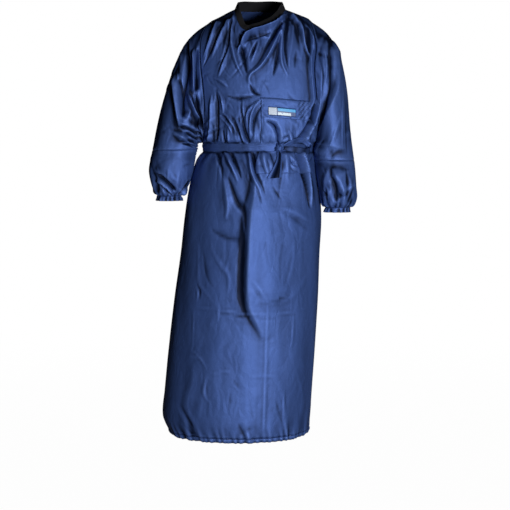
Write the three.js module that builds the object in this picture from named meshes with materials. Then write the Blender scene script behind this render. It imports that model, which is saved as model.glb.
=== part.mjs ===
// A long-sleeved protective gown in coated nylon, in the hollow form it has when worn.
// Millimetres, +Z up. +X is the wearer's left, the front faces -Y, and the origin is the
// middle of the neck base, level with the shoulders, where the wearer carries the gown.
// Every piece of cloth is a closed wall: a grid of points on the outside, and the same points
// moved in by the cloth's thickness.
import * as THREE from "three";

// ---- driving dimensions ----
const CLOTH = 1.6; // wall thickness of a cloth panel
const PATCH = 1.2; // thickness of what is sewn onto a panel
const SEAM = 0.35; // gap left between two pieces at a seam
const NECK_TOP = 15; // height of the neck seam at the shoulders
const NECK_DIP = 77; // how far the V of the neck dips below that
const NECK_DIP_AT = -0.52; // place of the V's point, as a share of the half width
const NECK_ROUND = { right: 0.7, left: 0.8 }; // 0 gives an arm of the V straight, 1 round
const NECK_LEVEL = -200; // rows below this height are level
const ARMHOLE_TOP = -12;
const UNDERARM = -400;
const BELT = { top: -404, middle: -415, bottom: -427, thick: 2 };
const BAND = { wide: 27, front: 17, thick: 2.4, lap: 14 }; // wide at the sides and the back
const POCKET = { top: -289, bottom: -492, wide: 160 };
const FLAP = { top: -263, bottom: -321 };
const FLAP_SLANT = { inner: 4, outer: 13 }; // how far the flap's two ends hang below its row
const LABEL = { top: -289, bottom: -315, from: 1, to: 5 }; // from and to are columns
const HEM = { stitch: -1289, bottom: -1302 };
const LAP = 2; // columns by which each back panel passes the centre back
// Columns on half of the front and of the back: over the pocket's width, and from there to the edge.
const COLUMNS = {
  front: { pocket: 8, side: 3 },
  back: { pocket: 5, side: 3 },
};
const HALF = {
  front: COLUMNS.front.pocket + COLUMNS.front.side,
  back: COLUMNS.back.pocket + COLUMNS.back.side,
};
const KNOT_COLUMN = 3; // the belt is tied over this column of the front
const SLEEVE_COLUMNS = 20; // points round a lower sleeve and a cuff

// ---- the form: half widths and depths of the body of the gown at each height ----
// right and left are the wearer's. Above the underarm the widths run on under the sleeves.
const body = [
  { z: 15, right: 76, left: 76, front: 55, back: 72 },
  { z: 0, right: 121, left: 121, front: 68, back: 84 },
  { z: -12, right: 149, left: 149, front: 76, back: 91 },
  { z: -37, right: 186, left: 186, front: 88, back: 103 },
  { z: -60, right: 205, left: 204, front: 96, back: 110 },
  { z: -93, right: 220, left: 214, front: 106, back: 118 },
  { z: -149, right: 230, left: 222, front: 118, back: 124 },
  { z: -215, right: 230, left: 226, front: 126, back: 126 },
  { z: -270, right: 218, left: 222, front: 130, back: 123 },
  { z: -330, right: 199, left: 204, front: 132, back: 119 },
  { z: -375, right: 183, left: 186, front: 130, back: 114 },
  { z: -400, right: 177, left: 176, front: 124.5, back: 108.5 },
  { z: -415, right: 174, left: 169, front: 123.5, back: 107.5 },
  { z: -427, right: 175, left: 168, front: 124.5, back: 108.5 },
  { z: -460, right: 196, left: 171, front: 137, back: 122 },
  { z: -530, right: 216, left: 182, front: 144, back: 134 },
  { z: -632, right: 233, left: 189, front: 150, back: 148 },
  { z: -744, right: 245, left: 184, front: 156, back: 156 },
  { z: -874, right: 264, left: 180, front: 161, back: 164 },
  { z: -1023, right: 282, left: 171, front: 166, back: 172 },
  { z: -1172, right: 298, left: 161, front: 171, back: 177 },
  { z: -1250, right: 304, left: 156, front: 172, back: 178 },
  { z: -1289, right: 285, left: 150, front: 166, back: 171 },
  { z: -1302, right: 276, left: 145, front: 162, back: 167 },
];

// The armhole seam in the front view: distance from the centre plane on each side.
const armhole = [
  { z: -12, right: 149, left: 149 },
  { z: -50, right: 174, left: 162 },
  { z: -100, right: 182, left: 170 },
  { z: -160, right: 180, left: 165 },
  { z: -215, right: 175, left: 167 },
  { z: -276, right: 170, left: 174 },
  { z: -340, right: 169, left: 177 },
  { z: -384, right: 172, left: 178 },
  { z: -400, right: 177, left: 176 },
];

// Heights of the grid's rows at the sides of a panel.
const rows = [
  15, 0, -12, -30, -55, -90, -130, -170, -215, -263, -289, -315, -321, -352, -382, -400, -404, -415,
  -427, -450, -492, -560, -660, -780, -920, -1090, -1240, -1289, -1302,
];

// Sections of the sleeves from the armhole to the wrist. outX, outZ and inX, inZ are the ends of
// each section in the front view, deep is its half depth and y moves it forward.
const sleeves = {
  right: {
    side: -1,
    upper: [
      { outX: 197, outZ: -45, inX: 187, inZ: -402, deep: 86, y: 0 },
      { outX: 233, outZ: -85, inX: 189, inZ: -406, deep: 88, y: -2 },
      { outX: 262, outZ: -149, inX: 190, inZ: -411, deep: 88, y: -4 },
      { outX: 282, outZ: -215, inX: 191, inZ: -415, deep: 85, y: -7 },
      { outX: 300, outZ: -282, inX: 191, inZ: -418, deep: 81, y: -10 },
      { outX: 316, outZ: -350, inX: 191, inZ: -420, deep: 77, y: -13 },
      { outX: 331, outZ: -422, inX: 192, inZ: -422, deep: 72, y: -16 },
    ],
    lower: [
      { outX: 331, outZ: -422, inX: 192, inZ: -422, deep: 72, y: -16 },
      { outX: 338, outZ: -453, inX: 202, inZ: -453, deep: 73, y: -19 },
      { outX: 342, outZ: -485, inX: 212, inZ: -487, deep: 71, y: -22 },
      { outX: 336, outZ: -517, inX: 221, inZ: -518, deep: 63, y: -25 },
      { outX: 326, outZ: -543, inX: 231, inZ: -543, deep: 49, y: -27 },
      { outX: 316, outZ: -562, inX: 242, inZ: -562, deep: 38, y: -28 },
    ],
    cuff: [
      { outX: 316, outZ: -562, inX: 242, inZ: -562, deep: 38, y: -28 },
      { outX: 315, outZ: -577, inX: 244, inZ: -577, deep: 37, y: -28 },
    ],
  },
  left: {
    side: 1,
    upper: [
      { outX: 197, outZ: -45, inX: 185, inZ: -402, deep: 86, y: -2 },
      { outX: 226, outZ: -85, inX: 185, inZ: -410, deep: 88, y: -5 },
      { outX: 238, outZ: -149, inX: 184, inZ: -420, deep: 87, y: -9 },
      { outX: 251, outZ: -215, inX: 181, inZ: -430, deep: 84, y: -14 },
      { outX: 266, outZ: -286, inX: 178, inZ: -439, deep: 80, y: -20 },
      { outX: 277, outZ: -366, inX: 175.5, inZ: -446, deep: 76, y: -26 },
      { outX: 288, outZ: -453, inX: 174.5, inZ: -453, deep: 71, y: -32 },
    ],
    lower: [
      { outX: 288, outZ: -453, inX: 174.5, inZ: -453, deep: 71, y: -32 },
      { outX: 292, outZ: -490, inX: 175, inZ: -490, deep: 71, y: -38 },
      { outX: 295, outZ: -530, inX: 179, inZ: -530, deep: 67, y: -44 },
      { outX: 295, outZ: -562, inX: 186, inZ: -562, deep: 58, y: -48 },
      { outX: 286, outZ: -584, inX: 193, inZ: -584, deep: 46, y: -50 },
      { outX: 275, outZ: -597, inX: 199, inZ: -597, deep: 37, y: -50 },
    ],
    cuff: [
      { outX: 275, outZ: -597, inX: 199, inZ: -597, deep: 37, y: -50 },
      { outX: 273, outZ: -611, inX: 200, inZ: -611, deep: 36, y: -50 },
    ],
  },
};

// The largest folds, as soft ridges (high above 0) and troughs on the front or the back. Each runs
// from its first point to its second in the front view, and dies away over its length.
const folds = [
  { on: "front", x1: -68, z1: -90, x2: -22, z2: -45, wide: 20, high: 9 },
  { on: "front", x1: 66, z1: -45, x2: 5, z2: -170, wide: 26, high: -9 },
  { on: "front", x1: 75, z1: -60, x2: 62, z2: -220, wide: 24, high: 9 },
  { on: "front", x1: -105, z1: -50, x2: -130, z2: -190, wide: 26, high: 8 },
  { on: "front", x1: -84, z1: -60, x2: -60, z2: -190, wide: 22, high: -8 },
  { on: "front", x1: -136, z1: -250, x2: -40, z2: -400, wide: 26, high: 8 },
  { on: "front", x1: 10, z1: -265, x2: -33, z2: -398, wide: 22, high: -8 },
  { on: "front", x1: -32, z1: -440, x2: -35, z2: -640, wide: 34, high: -9 },
  { on: "front", x1: -35, z1: -640, x2: -52, z2: -900, wide: 40, high: -13 },
  { on: "front", x1: -110, z1: -560, x2: -150, z2: -1180, wide: 60, high: 12 },
  { on: "front", x1: 60, z1: -560, x2: 70, z2: -1150, wide: 60, high: 8 },
  { on: "back", x1: -90, z1: -60, x2: -70, z2: -230, wide: 26, high: -8 },
  { on: "back", x1: 85, z1: -50, x2: 66, z2: -260, wide: 26, high: -8 },
  { on: "back", x1: -120, z1: -240, x2: -60, z2: -395, wide: 28, high: 8 },
  { on: "back", x1: 115, z1: -250, x2: 60, z2: -395, wide: 28, high: 8 },
  { on: "back", x1: -120, z1: -450, x2: -150, z2: -1180, wide: 52, high: -13 },
  { on: "back", x1: 70, z1: -450, x2: 60, z2: -1180, wide: 52, high: -13 },
];

// ---- small tools ----
const V = (x, y, z) => new THREE.Vector3(x, y, z);
const span = (n) => Array.from({ length: n }, (_, i) => i);
const lerp = THREE.MathUtils.lerp;
const clamp = THREE.MathUtils.clamp;

// A column of a table at height z, on a smooth curve through its rows.
function at(table, name, z) {
  const last = table.length - 1;
  if (z >= table[0].z) return table[0][name];
  if (z <= table[last].z) return table[last][name];
  const i = table.findIndex((row) => row.z < z) - 1;
  const [a, b] = [table[i], table[i + 1]];
  const slope = (k) => {
    const [p, q] = [table[Math.max(k - 1, 0)], table[Math.min(k + 1, last)]];
    return (q[name] - p[name]) / (q.z - p.z);
  };
  const step = b.z - a.z;
  const t = (z - a.z) / step;
  return (
    (2 * t ** 3 - 3 * t ** 2 + 1) * a[name] +
    (t ** 3 - 2 * t ** 2 + t) * step * slope(i) +
    (3 * t ** 2 - 2 * t ** 3) * b[name] +
    (t ** 3 - t ** 2) * step * slope(i + 1)
  );
}

// A closed mesh of an outside and an inside grid of points, [row][column], joined at the rims.
// A ring closes on itself from its last column to its first.
function closedWall(outside, inside, ring) {
  const down = outside.length;
  const across = outside[0].length;
  const points = [...outside.flat(), ...inside.flat()];
  const id = (layer, r, c) => layer * down * across + r * across + (c % across);
  const index = [];
  const quad = (a, b, c, d) => index.push(a, b, c, a, c, d);
  const steps = ring ? across : across - 1;
  for (const r of span(down - 1))
    for (const c of span(steps)) {
      quad(id(0, r, c), id(0, r + 1, c), id(0, r + 1, c + 1), id(0, r, c + 1));
      quad(id(1, r, c), id(1, r, c + 1), id(1, r + 1, c + 1), id(1, r + 1, c));
    }
  for (const c of span(steps)) {
    quad(id(0, 0, c), id(0, 0, c + 1), id(1, 0, c + 1), id(1, 0, c));
    const r = down - 1;
    quad(id(0, r, c + 1), id(0, r, c), id(1, r, c), id(1, r, c + 1));
  }
  if (!ring)
    for (const r of span(down - 1)) {
      quad(id(0, r + 1, 0), id(0, r, 0), id(1, r, 0), id(1, r + 1, 0));
      const c = across - 1;
      quad(id(0, r, c), id(0, r + 1, c), id(1, r + 1, c), id(1, r, c));
    }
  const geometry = new THREE.BufferGeometry().setFromPoints(points);
  geometry.setIndex(volumeOf(points, index) < 0 ? index.reverse() : index);
  return geometry;
}

function volumeOf(points, index) {
  let volume = 0;
  for (let i = 0; i < index.length; i += 3) {
    const [a, b, c] = [points[index[i]], points[index[i + 1]], points[index[i + 2]]];
    volume += a.dot(V(0, 0, 0).crossVectors(b, c)) / 6;
  }
  return volume;
}

// The outward directions of a grid of points. The sign is +1 where rows go down and columns go
// anticlockwise seen from above.
function normalsOf(grid, ring, sign = 1) {
  const down = grid.length;
  const across = grid[0].length;
  return grid.map((row, r) =>
    row.map((_, c) => {
      const next = ring ? (c + 1) % across : Math.min(c + 1, across - 1);
      const past = ring ? (c + across - 1) % across : Math.max(c - 1, 0);
      const along = row[next].clone().sub(row[past]);
      const fall = grid[Math.min(r + 1, down - 1)][c].clone().sub(grid[Math.max(r - 1, 0)][c]);
      return V(0, 0, 0).crossVectors(fall, along).normalize().multiplyScalar(sign);
    }),
  );
}

// A grid moved along its normals by a distance, or by one that depends on row and column.
function moved(grid, normals, distance) {
  const far = typeof distance === "function" ? distance : () => distance;
  return grid.map((row, r) =>
    row.map((p, c) => p.clone().addScaledVector(normals[r][c], far(r, c))),
  );
}

// A sheet between two distances out from a grid.
function sheet(grid, normals, inner, thick, ring = false) {
  const near = typeof inner === "function" ? inner : () => inner;
  return closedWall(
    moved(grid, normals, (r, c) => near(r, c) + thick),
    moved(grid, normals, near),
    ring,
  );
}

// ---- the body ----
// How far a fold lifts the cloth at a place in the front view.
function lift(on, x, z) {
  let out = 0;
  for (const f of folds) {
    if (f.on !== on) continue;
    const [dx, dz] = [f.x2 - f.x1, f.z2 - f.z1];
    const t = clamp(((x - f.x1) * dx + (z - f.z1) * dz) / (dx * dx + dz * dz), 0, 1);
    const away = Math.hypot(x - f.x1 - t * dx, z - f.z1 - t * dz) / f.wide;
    out += f.high * Math.exp(-away * away) * (0.35 + 0.65 * Math.sin(Math.PI * t));
  }
  return out;
}

// Folds die away at the seams, the belt and the hem, so that the pieces meet.
function calm(share, z) {
  const edge = clamp((1 - Math.abs(share)) / 0.15, 0, 1);
  const belt = clamp((Math.abs(z - BELT.middle) - 14) / 40, 0, 1);
  const hem = clamp((z - HEM.stitch) / 60, 0, 1);
  const neck = clamp((NECK_TOP - NECK_DIP - 5 - z) / 30, 0, 1);
  return edge * belt * hem * neck;
}

// The shoulders slope down from the neck, the wearer's right one further than the left. This moves
// any point near them, so that every piece slopes alike.
const SLOPE = { neck: 11, right: 8, left: 2 };
const ease = (t) => THREE.MathUtils.smoothstep(t, 0, 1);

function sloped(p) {
  const out = Math.abs(p.x);
  const far = p.x < 0 ? SLOPE.right : SLOPE.left;
  const neck = p.y > 0 ? 1 : ease((out - 15) / 60);
  const drop = SLOPE.neck * neck + far * ease((out - 75) / 60);
  return p.setZ(p.z - drop * ease((p.z + 260) / 180));
}

// The rows of the flap slant down towards the wearer's left, and the rows round them follow.
function slanted(x, level) {
  const across = lerp(FLAP_SLANT.inner * ease((x + 60) / 60), FLAP_SLANT.outer, ease(x / POCKET.wide));
  return across * ease((-215 - level) / 45) * ease((level + 392) / 66);
}

// A point of the body. share runs from -1 at the wearer's right edge to 1 at the left one, level is
// the row's height at the edges, and on is "front" or "back".
function bodyPoint(on, share, level) {
  const hand = share < 0 ? "right" : "left";
  const sign = share < 0 ? -1 : 1;
  const swing = Math.abs(share) * (Math.PI / 2);
  const open = level < ARMHOLE_TOP && level > UNDERARM;
  const edge = open
    ? Math.min(at(armhole, hand, level), at(body, hand, level))
    : at(body, hand, level);
  const centre = centreAt(level);
  const reachX = edge - sign * centre; // from the centre line to this edge
  const x = reachX * Math.sin(swing);
  const blend = clamp((level - NECK_LEVEL) / (NECK_TOP - NECK_LEVEL), 0, 1);
  const width = sign * Math.sin(swing);
  const arm = width < NECK_DIP_AT ? "right" : "left";
  const run = arm === "right" ? 1 + NECK_DIP_AT : 1 - NECK_DIP_AT;
  const near = 1 - Math.abs(width - NECK_DIP_AT) / run; // 0 at the shoulder, 1 at the V's point
  const dip = lerp(near, 1 - (1 - near) ** 3, NECK_ROUND[arm]);
  const low = NECK_DIP * dip * blend + slanted(centre + sign * x, level);
  const z = level - (on === "front" ? low : 0);
  const wide = Math.max(at(body, hand, z) - sign * centreAt(z), reachX);
  const deep = at(body, on, z) * Math.sqrt(Math.max(0, 1 - (x / wide) ** 2));
  const rise = lift(on, centre + sign * x, z) * calm(share, z);
  return sloped(V(centre + sign * x, (on === "front" ? -1 : 1) * (deep + rise), z));
}

// The middle of the form at a height: the skirt swings to the wearer's right.
function centreAt(z) {
  return (at(body, "left", z) - at(body, "right", z)) / 2;
}

// A row of a body panel: points at even steps of cloth over the pocket's width on each side of
// the centre, and at even steps from there to the edge.
function bodyRow(on, level) {
  const fine = 60;
  const columns = COLUMNS[on];
  const half = (sign) => {
    const line = span(fine + 1).map((i) => bodyPoint(on, (sign * i) / fine, level));
    const run = [0];
    for (const i of span(fine)) run.push(run[i] + line[i].distanceTo(line[i + 1]));
    const whole = run[fine];
    const pocket = Math.min(POCKET.wide * Math.max(1, whole / 240), whole * 0.85);
    return span(HALF[on] + 1).map((c) => {
      const want =
        c <= columns.pocket
          ? (pocket * c) / columns.pocket
          : lerp(pocket, whole, (c - columns.pocket) / columns.side);
      const i = clamp(run.findIndex((length) => length >= want - 1e-6) - 1, 0, fine - 1);
      const t = (want - run[i]) / (run[i + 1] - run[i]);
      return bodyPoint(on, (sign * (i + t)) / fine, level);
    });
  };
  return [...half(-1).slice(1).reverse(), ...half(1)];
}

// The front of the gown at a place in the front view, without its folds.
function aheadOf(x, z) {
  const wide = at(body, "left", z) - centreAt(z);
  return -at(body, "front", z) * Math.sqrt(Math.max(0, 1 - ((x - centreAt(z)) / wide) ** 2));
}

const front = rows.map((level) => bodyRow("front", level));
const back = rows.map((level) => bodyRow("back", level));
const frontOut = normalsOf(front, false, 1);
const backOut = normalsOf(back, false, -1);

const rowAt = (z) => rows.indexOf(z);
const cut = (grid, fromRow, toRow, fromColumn, toColumn) => {
  const half = (grid[0].length - 1) / 2;
  return grid
    .slice(rowAt(fromRow), rowAt(toRow) + 1)
    .map((row) => row.slice(fromColumn + half, toColumn + half + 1));
};

// Pieces that meet at the side, shoulder, armhole and hem seams are drawn in by half a seam gap.
function seamed(grid, leftEdge, rightEdge) {
  const last = grid[0].length - 1;
  return grid.map((row) =>
    row.map((p, c) => {
      const q = p.clone();
      if (c === 0 && leftEdge) q.add(leftEdge);
      if (c === last && rightEdge) q.add(rightEdge);
      return q;
    }),
  );
}

// A piece of the body between two heights. Columns run from the wearer's right to the left.
function bodyPiece({ on, from, to, top, bottom, drop, thick, lapLift }) {
  const [grid, out] = on === "front" ? [front, frontOut] : [back, backOut];
  const points = cut(grid, top, bottom, from, to).map((row, r) =>
    row.map((p) => p.clone().add(V(0, 0, r === 0 ? -drop : 0))),
  );
  const normals = cut(out, top, bottom, from, to);
  const away = on === "front" ? -SEAM : SEAM;
  const shut = seamed(
    points,
    from === -HALF[on] && V(SEAM, away, 0),
    to === HALF[on] && V(-SEAM, away, 0),
  );
  const near = (_, c) => (c + from >= -LAP ? lapLift : 0) - CLOTH;
  return sheet(shut, normals, near, thick);
}

function bodyPieces() {
  const { front: ahead, back: behind } = HALF;
  const spans = [
    { name: "front", end: "", on: "front", from: -ahead, to: ahead, lap: 0 },
    { name: "back", end: "_right", on: "back", from: -behind, to: LAP, lap: 1 },
    { name: "back", end: "_left", on: "back", from: -LAP, to: behind, lap: 0 },
  ];
  const made = {};
  for (const { name, end, on, from, to, lap } of spans) {
    const panel = { on, from, to, top: rows[0], bottom: HEM.stitch, drop: 0, thick: CLOTH };
    const casing = { on, from, to, top: HEM.stitch, bottom: HEM.bottom, drop: SEAM };
    const casingThick = CLOTH + 0.8;
    made[name + "_panel" + end] = bodyPiece({ ...panel, lapLift: lap * (CLOTH + SEAM) });
    made["hem_casing_" + name + end] = bodyPiece({
      ...casing,
      thick: casingThick,
      lapLift: lap * (casingThick + SEAM),
    });
  }
  return made;
}

// ---- pocket, flap and label, on the panel's own points ----
function pocketPieces() {
  const place = (from, to, left, right) => [
    cut(front, from, to, left, right),
    cut(frontOut, from, to, left, right),
  ];
  const onPanel = SEAM;
  const onPocket = SEAM + PATCH + SEAM;
  const onFlap = onPocket + PATCH + SEAM;
  const [pocket, pocketOut] = place(POCKET.top, POCKET.bottom, 0, COLUMNS.front.pocket);
  const [flap, flapOut] = place(FLAP.top, FLAP.bottom, 0, COLUMNS.front.pocket);
  const [label, labelOut] = place(LABEL.top, LABEL.bottom, LABEL.from, LABEL.to);
  return {
    pocket: sheet(pocket, pocketOut, onPanel, PATCH),
    pocket_flap: sheet(flap, flapOut, (r) => (r === 0 ? onPanel : onPocket), PATCH),
    flap_label: sheet(label, labelOut, onFlap, 1),
  };
}

// ---- sleeves ----
// The armhole seam as a ring: down the front edge of the body, then up the back edge. Both edges
// share their shoulder and underarm points.
function armholeRing(hand) {
  const [from, to] = [rowAt(ARMHOLE_TOP), rowAt(UNDERARM)];
  const edge = (on) => (hand === "right" ? 0 : 2 * HALF[on]);
  const ahead = span(to - from + 1).map((i) => front[from + i][edge("front")]);
  const behind = span(to - from - 1).map((i) => back[to - 1 - i][edge("back")]);
  const gap = V(hand === "right" ? -SEAM : SEAM, 0, 0);
  return [...ahead, ...behind].map((p) => p.clone().add(gap));
}

// Angles round a sleeve that match the armhole ring's points.
function ringAngles() {
  const [from, to] = [rowAt(ARMHOLE_TOP), rowAt(UNDERARM)];
  const middle = (ARMHOLE_TOP + UNDERARM) / 2;
  const half = (ARMHOLE_TOP - UNDERARM) / 2;
  const ahead = rows.slice(from, to + 1).map((z) => Math.acos(clamp((z - middle) / half, -1, 1)));
  const behind = ahead.slice(1, -1).reverse();
  return [...ahead, ...behind.map((angle) => 2 * Math.PI - angle)];
}

// Lower rings have even angles, since nothing there has to meet the body's rows.
function evened(angles, share) {
  const count = angles.length;
  return angles.map((angle, i) => lerp(angle, (2 * Math.PI * i) / count, share));
}

function sleeveRing(side, row, angles, drop) {
  const middle = V((side * (row.outX + row.inX)) / 2, row.y, (row.outZ + row.inZ) / 2 + drop);
  const reach = V((side * (row.outX - row.inX)) / 2, 0, (row.outZ - row.inZ) / 2);
  return angles.map((angle) =>
    sloped(
      middle
        .clone()
        .addScaledVector(reach, Math.cos(angle))
        .add(V(0, -row.deep * Math.sin(angle), 0)),
    ),
  );
}

function sleevePieces(hand) {
  const { side, upper, lower, cuff } = sleeves[hand];
  const angles = ringAngles();
  const even = span(SLEEVE_COLUMNS).map((i) => (2 * Math.PI * i) / SLEEVE_COLUMNS);
  const upperRings = upper.map((row, r) =>
    sleeveRing(side, row, evened(angles, (r + 1) / upper.length), 0),
  );
  const grids = {
    sleeve_upper: [armholeRing(hand), ...upperRings],
    sleeve_lower: lower.map((row, r) => sleeveRing(side, row, even, r === 0 ? -SEAM : 0)),
    cuff: cuff.map((row, r) => sleeveRing(side, row, even, r === 0 ? -SEAM : 0)),
  };
  const made = {};
  for (const [name, grid] of Object.entries(grids)) {
    const out = normalsOf(grid, true, side === 1 ? -1 : 1);
    const extra = name === "cuff" ? 0.8 : 0;
    made[name + "_" + hand] = sheet(grid, out, -CLOTH, CLOTH + extra, true);
  }
  return made;
}

// ---- neck band ----
// The band stands on the neck seam. It starts under the lap at the V, goes round the wearer's left
// side and the back, and ends over its own start.
function neckBand() {
  const seam = [...front[0]].reverse();
  const tip = seam.reduce((low, p, i) => (p.z < seam[low].z ? i : low), 0);
  const leftArm = seam.slice(0, tip + 1).reverse();
  const rightArm = seam.slice(tip).reverse();
  const behind = [...back[0]].reverse().slice(1, -1);
  const [beforeTip, atTip] = rightArm.slice(-2);
  const overhang = atTip.clone().sub(beforeTip).setY(-1).setLength(BAND.lap).add(atTip);
  const run = [...leftArm, ...behind, ...rightArm, overhang];
  const last = run.length - 1;
  const overLap = leftArm.length + HALF.back - 1; // where the band crosses the lap of the backs
  const raised = (i) => (Math.abs(i - overLap) <= LAP + 1 ? CLOTH + 2 * SEAM : SEAM);
  const lower = run.map((p, i) => p.clone().add(V(0, 0, raised(i))));
  const upper = run.map((p, i) => {
    const frontness = clamp(-p.y / 60, 0, 1);
    const inward = V(-p.x, -p.y, 0).normalize();
    const flat = V(0, 0, 1).addScaledVector(inward, lerp(0.12, 0.45, frontness)).normalize();
    return lower[i].clone().addScaledVector(flat, lerp(BAND.wide, BAND.front, frontness));
  });
  const grid = [upper, lower];
  const outward = normalsOf(grid, false, 1);
  const over = 2; // points at the end of the band that lie over its start
  const near = (_, c) => (c > last - over ? BAND.thick + 2 * SEAM : 0);
  return { neck_band: sheet(grid, outward, near, BAND.thick) };
}

// ---- belt ----
function beltRing() {
  const levels = [BELT.top, BELT.middle, BELT.bottom];
  const onPanel = SEAM;
  const onPocket = SEAM + PATCH + SEAM;
  const onLap = CLOTH + 3.5 * SEAM;
  const onBack = 2 * SEAM;
  const grid = levels.map((z) => {
    const ahead = front[rowAt(z)];
    const behind = [...back[rowAt(z)]].reverse().slice(1, -1);
    return [...ahead, ...behind];
  });
  const normals = normalsOf(grid, true).map((row) => row.map((n) => V(n.x, n.y, 0).normalize()));
  const near = (_, c) => {
    const ahead = c - HALF.front; // column on the front
    if (ahead <= HALF.front) return ahead >= 0 && ahead <= COLUMNS.front.pocket ? onPocket : onPanel;
    const behind = HALF.back - (ahead - HALF.front); // column on the back
    return Math.abs(behind) <= LAP ? onLap : onBack;
  };
  return { grid, normals, near };
}

function beltPieces() {
  const { grid, normals, near } = beltRing();
  const made = { belt: sheet(grid, normals, near, BELT.thick, true) };
  const knotColumn = HALF.front + KNOT_COLUMN;
  const place = grid[1][knotColumn];
  const out = normals[1][knotColumn];
  const left = V(-out.y, out.x, 0);
  const surface = SEAM + PATCH + SEAM + BELT.thick + SEAM;
  const spot = (along, away, up) =>
    place.clone().addScaledVector(left, along).addScaledVector(out, surface + away).add(V(0, 0, up));

  // The knot: a lumpy pad, round in front and flat behind.
  const knotRows = [
    { up: 15, wide: 7, thick: 7, behind: 3 },
    { up: 8, wide: 12, thick: 13, behind: 0.6 },
    { up: 0, wide: 14, thick: 15, behind: 0.2 },
    { up: -9, wide: 12, thick: 13, behind: 1 },
    { up: -15, wide: 8, thick: 8, behind: 5 },
  ];
  const around = 8;
  const knotFront = knotRows.map((row) =>
    span(around + 1).map((i) => {
      const angle = Math.PI * (i / around);
      return spot(-row.wide * Math.cos(angle), row.behind + 1 + row.thick * Math.sin(angle), row.up);
    }),
  );
  const knotBack = knotRows.map((row) =>
    span(around + 1).map((i) =>
      spot(-row.wide * Math.cos(Math.PI * (i / around)), row.behind, row.up),
    ),
  );
  made.belt_knot = closedWall(knotFront, knotBack, false);

  // The half bow: a flat band that leaves the knot, rises, turns round and comes back.
  const loopPath = [
    { along: 15.6, away: 7, up: 3 },
    { along: 34, away: 6, up: 16 },
    { along: 56, away: 0, up: 25 },
    { along: 78, away: -9, up: 21 },
    { along: 95, away: -15, up: 8 },
    { along: 98, away: -8, up: -5 },
    { along: 84, away: 4, up: -12 },
    { along: 60, away: 14, up: -9 },
    { along: 36, away: 17, up: -5 },
    { along: 13.6, away: 14, up: -1 },
  ];
  made.belt_loop = strip(loopPath, spot, 13, 1.6);

  // The hanging end: narrow and folded at the knot, wider at its foot.
  const tailPath = [
    { x: 62, up: -15.6, wide: 6, away: 7 },
    { x: 63, up: -30, wide: 6, away: 6 },
    { x: 61, up: -48, wide: 8, away: 5 },
    { x: 56, up: -66, wide: 13, away: 4 },
    { x: 50, up: -84, wide: 18, away: 4 },
    { x: 46, up: -101, wide: 22, away: 5 },
  ];
  const tailFace = (thick) =>
    tailPath.map((row) =>
      span(4).map((i) => {
        const side = lerp(-1, 1, i / 3);
        const bow = 3 * (1 - side * side);
        const x = row.x + side * row.wide;
        return V(x, aheadOf(x, BELT.middle + row.up) - surface - row.away - bow - thick, BELT.middle + row.up);
      }),
    );
  made.belt_tail = closedWall(tailFace(1.6), tailFace(0), false);
  return made;
}

// A flat band along a path of named offsets, standing on its edge.
function strip(path, spot, wide, thick) {
  const middle = path.map((p) => spot(p.along, p.away, p.up));
  const last = middle.length - 1;
  const across = V(0, 0, 1);
  const rowsOf = (sign) =>
    [-1, 1].map((edge) =>
      middle.map((p, i) => {
        const run = middle[Math.min(i + 1, last)].clone().sub(middle[Math.max(i - 1, 0)]);
        const face = V(0, 0, 0).crossVectors(across, run).normalize();
        const width = V(0, 0, 0).crossVectors(run, face).normalize();
        return p
          .clone()
          .addScaledVector(width, (edge * wide) / 2)
          .addScaledVector(face, (sign * thick) / 2);
      }),
    );
  return closedWall(rowsOf(1), rowsOf(-1), false);
}

// ---- the gown ----
const materials = {
  navy: new THREE.MeshStandardMaterial({ color: 0x1b2a5c, roughness: 0.5, metalness: 0 }),
  black: new THREE.MeshStandardMaterial({ color: 0x0b0c10, roughness: 0.9, metalness: 0 }),
  label: new THREE.MeshStandardMaterial({ color: 0x2fa8dc, roughness: 0.5, metalness: 0 }),
};

const gown = new THREE.Group();
function add(pieces, material) {
  for (const [name, geometry] of Object.entries(pieces)) {
    const mesh = new THREE.Mesh(geometry, materials[material]);
    mesh.name = name;
    gown.add(mesh);
  }
}

add(bodyPieces(), "navy");
const { flap_label, ...pocketAndFlap } = pocketPieces();
add(pocketAndFlap, "navy");
add({ flap_label }, "label");
for (const hand of ["right", "left"]) add(sleevePieces(hand), "navy");
add(beltPieces(), "navy");
add(neckBand(), "black");

export default gown;
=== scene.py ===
# %% [markdown]
# # A sleeved protective gown in coated navy nylon
# The gown is cut from a thin coated nylon and hangs in the hollow form that it has when worn.
# It could be draped from flat patterns by simulation alone, but then its outline would differ from
# the fitted model. Here each piece is a fine grid of points on the form that the model already has,
# and its folds are given as heights above that form. Every piece keeps its seams.

# %% Load the frame
import math
import bpy
import numpy as np
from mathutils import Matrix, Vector


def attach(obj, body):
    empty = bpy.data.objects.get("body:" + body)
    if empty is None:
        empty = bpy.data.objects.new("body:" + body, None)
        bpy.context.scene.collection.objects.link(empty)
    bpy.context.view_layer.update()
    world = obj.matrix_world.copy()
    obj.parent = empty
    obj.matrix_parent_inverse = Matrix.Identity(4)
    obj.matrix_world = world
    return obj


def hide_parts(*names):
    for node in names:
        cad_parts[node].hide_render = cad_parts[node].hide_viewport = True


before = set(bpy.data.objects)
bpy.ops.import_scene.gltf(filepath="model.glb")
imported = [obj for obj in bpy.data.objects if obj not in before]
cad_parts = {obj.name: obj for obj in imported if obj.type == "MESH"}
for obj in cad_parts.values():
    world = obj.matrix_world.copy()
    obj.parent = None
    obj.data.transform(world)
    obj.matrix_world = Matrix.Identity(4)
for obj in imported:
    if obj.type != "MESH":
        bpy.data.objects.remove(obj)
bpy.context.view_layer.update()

# %% [markdown]
# ## Camera
# The gown is seen from the front, level with the chest and looking slightly down, with a long lens.
# The camera looks at a point a little above the middle of the form.

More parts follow.
